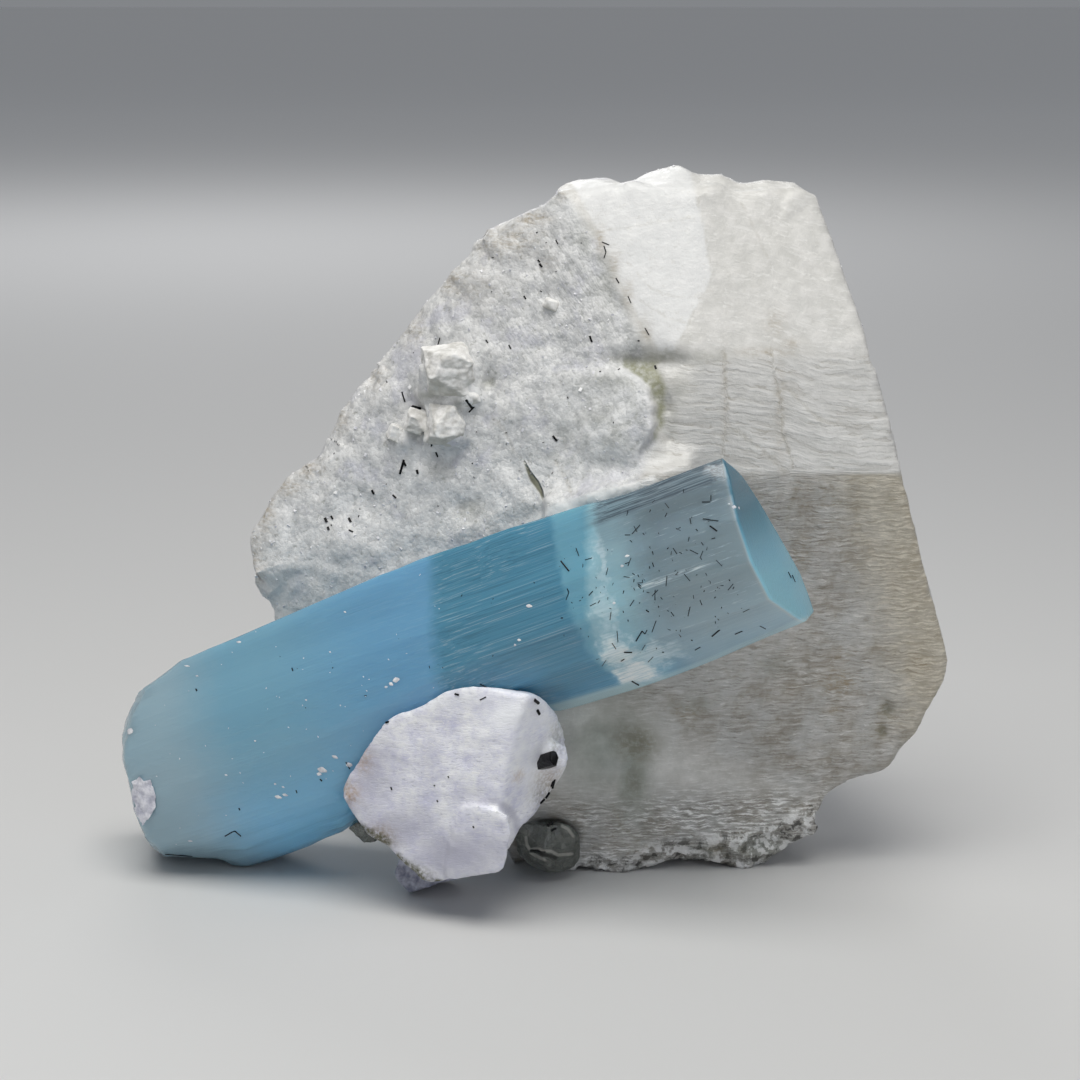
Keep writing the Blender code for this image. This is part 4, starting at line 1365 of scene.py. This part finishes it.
print("front feldspar faces:", len(front_crystal.data.polygons))

# %% [markdown]
# ## The stones of the small neighbours
#
# Quartz, albite and schorl fill the gaps at the foot. Quartz here is smoky and glassy with pale
# and dark cracks, albite is lilac-white and fine-grained, with a darker copy painted in shade for
# the foot, and schorl, the black tourmaline, is opaque.

# %% The stones of the small neighbours
# Quartz is clear but clouded by inclusions, so some light goes through and dims on its way.
quartz_stone, tree, mm = new_material("grey quartz, glassy, with cloudy inclusions")
masks = painted(tree, "crack_gap", "cleft_gap")
cloud = add(tree, "ShaderNodeTexNoise", Vector=mm, Scale=0.8, Detail=3.0, Roughness=0.6)
stone = glaze(
    tree, "#81857F",
    ("#9DA19B", 0.6, (cloud, 0.40, 0.68)),
    ("#E2E1D8", 0.85, (masks["crack_gap"], 2.0, 1.0)),
    ("#22231F", 0.9, (masks["cleft_gap"], 2.0, 1.2)),
)
skin(
    tree, stone, (0.15, cloud),
    volume=add(tree, "ShaderNodeVolumeAbsorption", Color=linear("#8C9088"), Density=90.0),
    Transmission_Weight=cover(tree, 1.0, (cloud, 0.35, 0.70, 0.66, 0.52)), Roughness=0.08, IOR=1.544,
)

# Albite is a mass of tiny grains: no clear faces, a soft sheen, and one cloudy tone.
albite_stones = []
for name, dark, light in (
    ("albite, lilac-white, fine-grained", "#B5B7C6", "#EDEDF4"),
    # The same albite painted darker for the foot, which lies in shade: painted shade.
    ("albite in painted shade, fine-grained", "#74768B", "#BFC1CF"),
):
    made, tree, mm = new_material(name)
    cloud = add(tree, "ShaderNodeTexNoise", Vector=mm, Scale=0.9, Detail=4.0, Roughness=0.6)
    skin(tree, glaze(tree, dark, (light, 1.0, (cloud, 0.35, 0.65))), (0.3, cloud), Roughness=0.4, IOR=1.53)
    albite_stones.append(made)
albite_stone, shaded_albite_stone = albite_stones

# Schorl is opaque and black, with lines along its faces that only a low light shows.
schorl_stone, tree, mm = new_material("schorl tourmaline, black, polished by growth")
line = stretched(tree, mm, (0.3, 3.0, 0.3), 3.0)
stone = glaze(tree, "#050506", ("#121318", 1.0, line))
skin(tree, stone, (0.06, line), Roughness=0.3, IOR=1.64, Specular_IOR_Level=0.1)
print("stones made:", quartz_stone.name, "|", albite_stone.name, "|", shaded_albite_stone.name, "|", schorl_stone.name)

# %% [markdown]
# ## The small neighbours
#
# Each is its solid with an even skin, a little roughness and its own edge. The schorl stub is a
# prism with polished faces, so it keeps them and only has its edges eased. It stands a little
# proud of the feldspar that holds it.

# %% The small neighbours
STUB_GROWTH = 1.12
STUB_SHIFT = (0, -0.896, 0.28)  # mm, out of the feldspar


def dress(node, name, material, slot, voxel, rough, outline, hidden=0, reach=12, bevel=0.0):
    """A small solid with an even skin, some roughness and its stone."""
    piece = copy_solid(node, name)
    if voxel:
        modify(piece, "REMESH", mode="VOXEL", voxel_size=voxel * MM)
        modify(piece, "SMOOTH", factor=0.5, iterations=2)
        relief(piece, "CLOUDS", (1.2, 1.2, 1.2), rough, noise_depth=2)
        modify(piece, "TRIANGULATE")
    if bevel:
        modify(
            piece, "BEVEL", width=bevel * MM, segments=2, limit_method="ANGLE", angle_limit=math.radians(15),
        )
    if outline:
        fit_outline(piece, outline, hidden, reach)
    finish_piece(piece, material, slot, node, smooth=28)
    return piece

quartz = dress("quartz_crystal", "quartz", quartz_stone, "quartz", 0.2, 0.3, [
    (515, 824), (532, 820), (558, 820), (570, 825), (578, 832), (580, 840), (580, 856), (578, 864),
    (570, 869), (560, 873), (550, 873), (538, 870), (528, 864), (520, 856), (515, 846),
])
knot = dress("quartz_knot", "quartz_knot_glassy", quartz_stone, "bluish_quartz", 0.15, 0.3, [])
foot = dress("albite_foot_crystal", "albite_foot", shaded_albite_stone, "albite", 0.2, 0.3, [
    (398, 860), (395, 872), (394, 876), (407, 892), (410, 893), (430, 887), (438, 883), (430, 840),
    (400, 840),
], hidden=2)
crust_patch = dress("albite_crust", "albite_patch", albite_stone, "albite", 0.12, 0.3, [
    (143, 772), (148, 773), (151, 781), (157, 798), (156, 809), (151, 816), (143, 826), (136, 816),
    (132, 803), (131, 782), (138, 778),
])
stub = dress("schorl_crystal", "schorl_stub", schorl_stone, "schorl", 0.0, 0.0, [
    (534, 758), (537, 755), (550, 751), (555, 753), (557, 758), (555, 766), (549, 770), (538, 769),
    (535, 763),
], bevel=0.12)
grow(stub, STUB_GROWTH, STUB_SHIFT)
print("small neighbours:", [piece.name for piece in (quartz, knot, foot, crust_patch, stub)])

# %% [markdown]
# ## The crust on the beryl
#
# A little albite has grown on the cloudy end. It is laid on the beryl: it goes back along the
# line of sight until its underside is in the stone. How far it has to go is measured at each
# point of its underside, and a plane through those distances keeps its shape.

# %% The crust on the beryl
CRUST_DEPTH = 0.3  # mm in the stone

x, y, z = places(crust_patch)
u, v, step = as_seen(x, y, z)
eye = np.array(camera.location) / MM
away = np.array([x, y, z]).T - eye
far = np.linalg.norm(away, axis=1)
spots_under, gaps_under = [], []
for index in np.flatnonzero(numbers(crust_patch.data.vertices, "normal", 3)[:, 1] > 0.3):
    point, normal = seen_on(beryl, u[index], v[index])
    if point is not None:
        spots_under.append((1, u[index], v[index]))
        gaps_under.append((point - camera.location).length / MM - far[index])
level, along_u, along_v = np.linalg.lstsq(np.array(spots_under), np.array(gaps_under), rcond=None)[0]
back = level + along_u * u + along_v * v + CRUST_DEPTH
move_points(crust_patch, *(eye + away * (1 + back / far)[:, None]).T)
print("crust moved back by", round(back.min(), 2), "to", round(back.max(), 2), "mm")

# %% [markdown]
# ## The cracks in the quartz
#
# A pale crack crosses the quartz in steps, and a dark cleft opens under it. The distance from
# each line is painted on the points, as on the feldspar block.

# %% The cracks in the quartz
PALE_CRACKS = (
    [(526, 837), (527, 845), (530, 850), (538, 848), (543, 851), (551, 851), (558, 855), (572, 854)],
    [(562, 826), (568, 829), (573, 836)],
    [(531, 853), (538, 857), (545, 860)],
)
CLEFT = [(531, 851), (538, 851), (543, 855), (550, 856), (556, 858)]

for glassy in (quartz, knot):
    x, y, z = places(glassy)
    u, v, step = as_seen(x, y, z)
    paint(glassy, "crack_gap", away_from(u, v, *PALE_CRACKS))
    paint(glassy, "cleft_gap", away_from(u, v, CLEFT))
print("pale cracks in the quartz:", len(PALE_CRACKS))

# %% [markdown]
# ## Little feldspars on the crust
#
# A cluster of fresh feldspar blocks stands on the sugary face, whiter than the crust around it.
# Each is a block whose corners are cut off by planes, as cleavage does, and a fine remesh of all
# of them together wears their edges. Their undersides are painted greyer: painted shade.

# %% Little feldspars on the crust
BLOCKS = (
    # place, size, turn, and the planes (nx, ny, nz, distance) that cut it
    ((-9.2, -2.2, 62.0), (5.6, 5.0, 5.4), (8, -6, 12), [
        (1, -0.4, 1.2, 3.0), (-1, -0.6, 0.6, 2.9), (-0.6, -1, -0.8, 2.7), (0.9, -1, -0.2, 3.0),
    ]),
    ((-9.7, -2.6, 55.4), (3.9, 3.8, 4.8), (-6, 10, 20), [
        (1, -0.6, 0.9, 2.3), (-1, -0.7, 0.8, 2.2), (0.3, -1, -1, 2.2), (-0.7, -0.5, -1, 2.5),
    ]),
    ((-13.3, -0.6, 55.6), (2.5, 2.4, 2.3), (20, 15, -10), [(1, -0.6, 0.9, 1.3), (-1, -0.7, 0.2, 1.2)]),
    ((-15.7, 1.2, 53.7), (2.1, 2.0, 1.8), (0, 25, 10), [(0.8, -0.8, 0.9, 1.0)]),
    ((-6.6, -2.6, 58.8), (1.9, 1.6, 1.5), (10, -20, 0), [(0.8, -0.8, 0.9, 0.9)]),
    ((3.0, -3.8, 70.1), (1.7, 1.2, 1.2), (0, 20, 0), [(0.8, -0.8, 0.9, 0.8)]),
)
blocks = [chip("block", *block) for block in BLOCKS]
bpy.ops.object.select_all(action="DESELECT")
for block in blocks:
    block.select_set(True)
bpy.context.view_layer.objects.active = blocks[0]
bpy.ops.object.join()
blocks = bpy.context.object
blocks.name = "crust_feldspars"
modify(blocks, "REMESH", mode="VOXEL", voxel_size=0.13 * MM)
modify(blocks, "SMOOTH", factor=0.5, iterations=4)
relief(blocks, "CLOUDS", (2.6, 2.6, 1.4), 0.5, noise_depth=2)
relief(blocks, "CLOUDS", (0.8, 0.8, 0.4), 0.10, noise_depth=1)
modify(blocks, "TRIANGULATE")
# Painted shade on the undersides, by how far each point faces down.
paint(blocks, "underside", 0.55 * ramp(-numbers(blocks.data.vertices, "normal", 3)[:, 2], -0.1, 0.7))

# Broken feldspar scatters light at its surface: chalky white, painted greyer underneath as shade.
block_stone, tree, mm = new_material("fresh white feldspar, broken, chalky")
cloud = add(tree, "ShaderNodeTexNoise", Vector=mm, Scale=0.7, Detail=4.0, Roughness=0.6)
stone = glaze(
    tree, "#CFCDC8",
    ("#F6F5F3", 1.0, (cloud, 0.36, 0.60)),
    ("#98988B", 1.0, painted(tree, "underside")["underside"]),
)
skin(tree, stone, (0.25, cloud), Roughness=0.45, IOR=1.53)
finish_piece(blocks, block_stone, "feldspar", smooth=50)
print("little feldspars:", len(blocks.data.polygons), "faces")

# %% [markdown]
# ## The sugary grains
#
# Real sugary albite is a mass of little blocks that catch the light one by one. Some hundreds of
# them, half sunk into the left face and spread evenly over its area, give it its sparkle, finer
# than the relief could.

# %% The sugary grains
GRAINS = 800
GRAIN_WIDTH = (0.2, 0.55, 0.3)  # mm: least, most and usual
SUNK = 0.25  # shares of its width

chance = random.Random(7)
face_middles = numbers(matrix.data.polygons, "center", 3)
face_normals = numbers(matrix.data.polygons, "normal", 3)
face_areas = numbers(matrix.data.polygons, "area", 1)[:, 0]
sugar_points = numbers(matrix.data.attributes["sugar"].data, "value", 1)[:, 0]
first_corner = np.array([face.vertices[0] for face in matrix.data.polygons])
on_crust = np.flatnonzero(
    (sugar_points[first_corner] > 0.6) & (face_normals[:, 1] < 0.3) & (face_middles[:, 2] > 1.5 * MM)
)
picked = chance.choices(on_crust.tolist(), weights=face_areas[on_crust].tolist(), k=GRAINS)
settings = []
for face in picked:
    normal = Vector(face_normals[face])
    along = (normal + 0.7 * Vector([chance.uniform(-1, 1) for _ in range(3)])).normalized()
    wide = chance.triangular(*GRAIN_WIDTH)
    size = (wide, wide * chance.uniform(0.6, 1.0), wide * chance.uniform(0.6, 1.0))
    point = Vector(face_middles[face]) - normal * SUNK * wide * MM
    settings.append(setting(point, along, size, chance.uniform(0, 6.28)))
grains = scatter("sugary_grains", grain_template(), settings)

# A cleaved grain is white or glassy grey, with a brighter shine than the crust around it.
grain_stone, tree, mm = new_material("albite grains, white to glassy grey")
cell = add(tree, "ShaderNodeTexNoise", Vector=mm, Scale=0.7, Detail=3.0, Roughness=0.7)
skin(tree, glaze(tree, "#BEBFC8", ("#F6F6F6", 1.0, (cell, 0.35, 0.65))), Roughness=0.3, IOR=1.53)
finish_piece(grains, grain_stone, "feldspar")
print("grains:", len(settings))

# %% [markdown]
# ## How a needle is placed
#
# Short black schorl needles lie all through the specimen. The ones that catch the eye are set one
# by one: a needle runs between two places in the picture, on the piece that shows there. The
# finer dust between them is random.

# %% How a needle is placed
LONGEST_NEEDLE = 4 * MM  # a longer one would bridge two pieces

inward = BERYL_TURN.to_matrix() @ Vector((0, 1, 0))
steep = BERYL_TURN.to_matrix() @ Vector((0, 0, 1))
lengthwise = BERYL_TURN.to_matrix() @ Vector((1, 0, 0))


def on_beryl(along, down):
    """The spot on the aquamarine's front so far along its axis and so far below its top edge."""
    start = into_place @ (Vector((along, -60.0, -down)) * MM)
    hit, point, normal, _ = beryl.ray_cast(start, inward)
    return (point, normal) if hit else (None, None)


def needle_from(piece, start, stop, thick, raised=0.2):
    """The setting of a needle that shows between two places in the picture."""
    (a, normal), (b, _) = seen_on(piece, *start), seen_on(piece, *stop)
    if a is None or b is None or (b - a).length > LONGEST_NEEDLE:
        return []
    return [setting((a + b) / 2 + normal * raised * thick * MM, b - a, (thick, thick, (b - a).length / MM))]


def needles_on(piece, marks):
    """The settings of needles that show on a piece, each from (u, v) to (u, v) with its thickness in mm."""
    made = []
    for u1, v1, u2, v2, thick in marks:
        made += needle_from(piece, (u1, v1), (u2, v2), thick)
    return made


bpy.context.view_layer.update()
print("needles lean from", tuple(round(c, 2) for c in steep))

# %% [markdown]
# ## The needles in the aquamarine
#
# They are steep or slanting in the clear end and sit at several depths below its face. Only a few
# specks lie on the cloudy part.

# %% The needles in the aquamarine
FINE_NEEDLES = 230
IN_CLEAR_END = 0.8  # share of the fine ones
LEAN = 45  # degrees, the usual slant

BERYL_NEEDLES = (
    # from (u, v) to (u, v) in the picture, thickness in mm
    (561, 561, 569, 571, 0.18), (702, 502, 710, 502, 0.12), (711, 495, 711, 501, 0.13),
    (690, 518, 691, 524, 0.1), (703, 519, 718, 521, 0.14), (710, 526, 717, 531, 0.2),
    (632, 534, 640, 525, 0.09), (625, 535, 630, 535, 0.1), (634, 526, 637, 532, 0.09),
    (673, 548, 677, 554, 0.1), (690, 550, 698, 554, 0.1), (665, 503, 669, 508, 0.1),
    (665, 517, 667, 513, 0.09), (712, 636, 719, 630, 0.2), (636, 641, 642, 631, 0.16),
    (642, 631, 645, 634, 0.11), (645, 634, 647, 630, 0.11), (624, 652, 632, 652, 0.2),
    (621, 661, 624, 659, 0.14), (617, 631, 618, 642, 0.09), (612, 643, 616, 649, 0.1),
    (642, 650, 645, 645, 0.1), (632, 681, 639, 685, 0.19), (662, 652, 664, 652, 0.14),
    (695, 650, 700, 647, 0.12), (671, 612, 674, 616, 0.1), (715, 616, 719, 620, 0.12),
    (652, 632, 656, 621, 0.1), (561, 618, 563, 618, 0.14), (700, 600, 702, 605, 0.1),
    (760, 626, 766, 629, 0.1), (646, 610, 649, 612, 0.14), (788, 572, 791, 578, 0.13),
    (792, 575, 795, 582, 0.12), (735, 634, 742, 631, 0.14), (480, 684, 488, 688, 0.14),
    (655, 600, 655, 590, 0.12), (652, 596, 658, 590, 0.09), (628, 566, 631, 558, 0.09),
    (606, 575, 608, 568, 0.09), (585, 560, 592, 558, 0.09), (576, 548, 579, 556, 0.09),
    (566, 600, 569, 592, 0.09), (590, 606, 596, 603, 0.09), (684, 574, 690, 581, 0.1),
    (700, 558, 703, 551, 0.09), (716, 560, 722, 566, 0.09), (728, 590, 733, 584, 0.09),
    (676, 630, 681, 637, 0.11), (688, 616, 690, 607, 0.1), (666, 586, 667, 576, 0.1),
    (743, 612, 749, 609, 0.09), (602, 666, 606, 660, 0.09), (648, 662, 653, 657, 0.09),
    (610, 620, 611, 612, 0.09), (630, 606, 634, 600, 0.1), (296, 790, 297, 793, 0.14),
    (320, 779, 322, 781, 0.18), (346, 762, 350, 769, 0.14), (225, 836, 232, 832, 0.16),
    (232, 832, 235, 831, 0.14), (235, 831, 241, 836, 0.17), (292, 668, 293, 671, 0.14),
    (196, 689, 197, 691, 0.18), (239, 808, 240, 810, 0.16), (165, 854, 178, 855, 0.16),
    (178, 855, 192, 856, 0.16),
)
settings = needles_on(beryl, BERYL_NEEDLES)
for _ in range(FINE_NEEDLES):
    along = chance.uniform(-20.5, -1.0) if chance.random() < IN_CLEAR_END else chance.uniform(-60.0, -19.0)
    down = chance.triangular(1.0, 19.5, 9.0)
    point, normal = on_beryl(along, down)
    if point is None:
        continue
    lean_by = math.radians(chance.gauss(0, LEAN))
    way = steep * math.cos(lean_by) + lengthwise * math.sin(lean_by) + 0.2 * chance.uniform(-1, 1) * inward
    long = chance.triangular(0.15, 0.9, 0.3) * (1 if along > -19 else 0.6)
    thick = chance.uniform(0.07, 0.12)
    sunk = normal * chance.uniform(-0.02, 0.12) * MM
    settings.append(setting(point - sunk, way, (thick, thick, long), chance.uniform(0, 6)))
beryl_needles = scatter("schorl_needles_in_aquamarine", needle_template(), settings)
finish_piece(beryl_needles, schorl_stone, "schorl")
print("needles in the aquamarine:", len(settings))

# %% [markdown]
# ## The schorl on the crust
#
# A knot of broken crystals sits in the upper crust, and single specks are strewn down to the
# beryl. The stretch right of the ridge and the strip above the beryl stay clean.

# %% The schorl on the crust
FINE_SPECKS = 50

CRUST_NEEDLES = (
    # from (u, v) to (u, v) in the picture, thickness in mm
    (413, 407, 421, 409, 0.5), (415, 414, 418, 408, 0.4), (411, 411, 416, 416, 0.4),
    (420, 419, 424, 414, 0.2), (431, 428, 432, 446, 0.25), (436, 452, 438, 457, 0.2),
    (400, 474, 404, 460, 0.3), (404, 462, 406, 466, 0.3), (417, 470, 418, 474, 0.3),
    (466, 400, 472, 408, 0.35), (469, 412, 474, 407, 0.2), (402, 392, 405, 402, 0.2),
    (438, 345, 440, 338, 0.15), (325, 518, 327, 522, 0.35), (331, 516, 333, 519, 0.25),
    (349, 518, 351, 522, 0.3), (328, 527, 329, 530, 0.3), (372, 490, 374, 494, 0.3),
    (393, 495, 396, 498, 0.25), (349, 530, 353, 532, 0.2), (540, 264, 542, 267, 0.3),
    (538, 260, 540, 262, 0.2), (524, 296, 526, 299, 0.2), (509, 345, 511, 349, 0.18),
    (553, 436, 557, 441, 0.3), (590, 336, 592, 342, 0.25), (556, 240, 558, 244, 0.16),
    (486, 340, 488, 343, 0.16), (604, 246, 606, 252, 0.14), (606, 252, 604, 258, 0.12),
    (616, 278, 619, 283, 0.14), (602, 242, 609, 245, 0.12), (628, 296, 631, 303, 0.12),
    (645, 328, 649, 335, 0.12), (655, 366, 656, 369, 0.25),
)
settings = needles_on(matrix, CRUST_NEEDLES)
for _ in range(FINE_SPECKS):
    spot_u, spot_v = chance.uniform(300, 640), chance.uniform(230, 540)
    if spot_u > np.interp(spot_v, RIDGE_V, RIDGE_U) - 4 or (spot_v > 500 and spot_u > 450):
        continue
    size = chance.uniform(0.06, 0.16)
    end = (spot_u + chance.uniform(-2, 2), spot_v + chance.uniform(-2, 2))
    settings += needle_from(matrix, (spot_u, spot_v), end, size)
crust_needles = scatter("schorl_on_crust", needle_template(), settings)
finish_piece(crust_needles, schorl_stone, "schorl")
print("bits on the crust:", len(settings))

# %% [markdown]
# ## The schorl on the front crystals
#
# Bits of schorl fill the joints between the front feldspar, the quartz and the beryl, and a few
# specks lie on the white faces.

# %% The schorl on the front crystals
FRONT_BITS = (
    # from (u, v) to (u, v) in the picture, thickness in mm
    (534, 700, 538, 703, 0.4), (537, 710, 539, 714, 0.35), (527, 684, 531, 689, 0.3),
    (541, 802, 546, 797, 0.4), (545, 798, 549, 792, 0.35), (552, 788, 554, 780, 0.3),
    (540, 803, 544, 799, 0.3), (548, 795, 551, 789, 0.35), (551, 786, 553, 781, 0.3),
    (424, 704, 432, 703, 0.2), (455, 694, 459, 695, 0.25), (386, 723, 389, 722, 0.25),
    (391, 787, 392, 790, 0.18), (437, 800, 438, 802, 0.18), (473, 826, 474, 828, 0.18),
    (434, 785, 435, 786, 0.15), (448, 776, 449, 778, 0.15), (358, 822, 366, 836, 0.3),
    (370, 843, 382, 848, 0.2), (402, 862, 410, 870, 0.2), (412, 872, 420, 880, 0.25),
    (480, 700, 486, 697, 0.14),
)
QUARTZ_BITS = (
    (548, 826, 553, 823, 0.4), (551, 831, 556, 828, 0.3), (556, 821, 561, 820, 0.3),
    (531, 850, 545, 852, 0.2),
)
settings = needles_on(front_crystal, FRONT_BITS) + needles_on(quartz, QUARTZ_BITS)
front_bits = scatter("schorl_on_front_crystals", needle_template(), settings)
finish_piece(front_bits, schorl_stone, "schorl")
print("bits on the front crystals:", len(settings))

# %% [markdown]
# ## White flecks on the aquamarine
#
# Crumbs of the broken feldspar stick to the beryl, most of them near its lower side. They are
# flat little lumps, whiter than anything near them, so even a tiny one shows.

# %% White flecks on the aquamarine
FINE_FLECKS = 70


def crumb_template():
    """A rough round crumb, one unit wide."""
    bpy.ops.object.select_all(action="DESELECT")
    bpy.ops.mesh.primitive_ico_sphere_add(subdivisions=2, radius=0.5)
    crumb = bpy.context.object
    for point in crumb.data.vertices:
        point.co *= chance.uniform(0.7, 1.1)
    return crumb


FLECKS = (
    # (u, v) in the picture, width and height in mm
    (322, 770, 1.2, 0.8), (319, 774, 0.6, 0.5), (335, 757, 0.9, 0.4), (349, 765, 0.8, 0.7),
    (278, 797, 0.9, 0.5), (285, 795, 0.7, 0.4), (239, 642, 0.9, 0.3), (396, 680, 0.9, 0.6),
    (391, 684, 0.6, 0.4), (386, 687, 0.4, 0.3), (187, 666, 1.0, 0.2), (130, 731, 1.0, 0.9),
    (275, 784, 0.3, 0.25), (283, 787, 0.4, 0.25), (190, 841, 0.6, 0.4), (197, 676, 0.5, 0.2),
    (734, 507, 0.5, 0.4), (739, 508, 0.4, 0.3), (729, 504, 0.3, 0.2), (627, 556, 0.6, 0.3),
    (622, 566, 0.4, 0.3), (614, 603, 0.4, 0.3), (529, 606, 0.8, 0.4), (519, 640, 0.5, 0.3),
    (515, 645, 0.3, 0.3), (345, 612, 0.4, 0.2), (306, 700, 0.3, 0.2), (330, 652, 0.3, 0.2),
    (255, 741, 0.3, 0.2), (226, 775, 0.4, 0.2),
)
settings = []
for u1, v1, wide, high in FLECKS:
    point, normal = seen_on(beryl, u1, v1)
    if point is not None:
        settings.append(setting(point, normal, (wide, high, 0.12), chance.uniform(-0.4, 0.4)))
for _ in range(FINE_FLECKS):
    point, normal = seen_on(beryl, chance.uniform(150, 440), chance.uniform(570, 850))
    if point is not None:
        size = (chance.uniform(0.08, 0.26), chance.uniform(0.06, 0.14), 0.05)
        settings.append(setting(point, normal, size, chance.uniform(0, 6)))
flecks = scatter("feldspar_flecks_on_aquamarine", crumb_template(), settings)
finish_piece(flecks, grain_stone, "feldspar")
print("flecks:", len(settings))
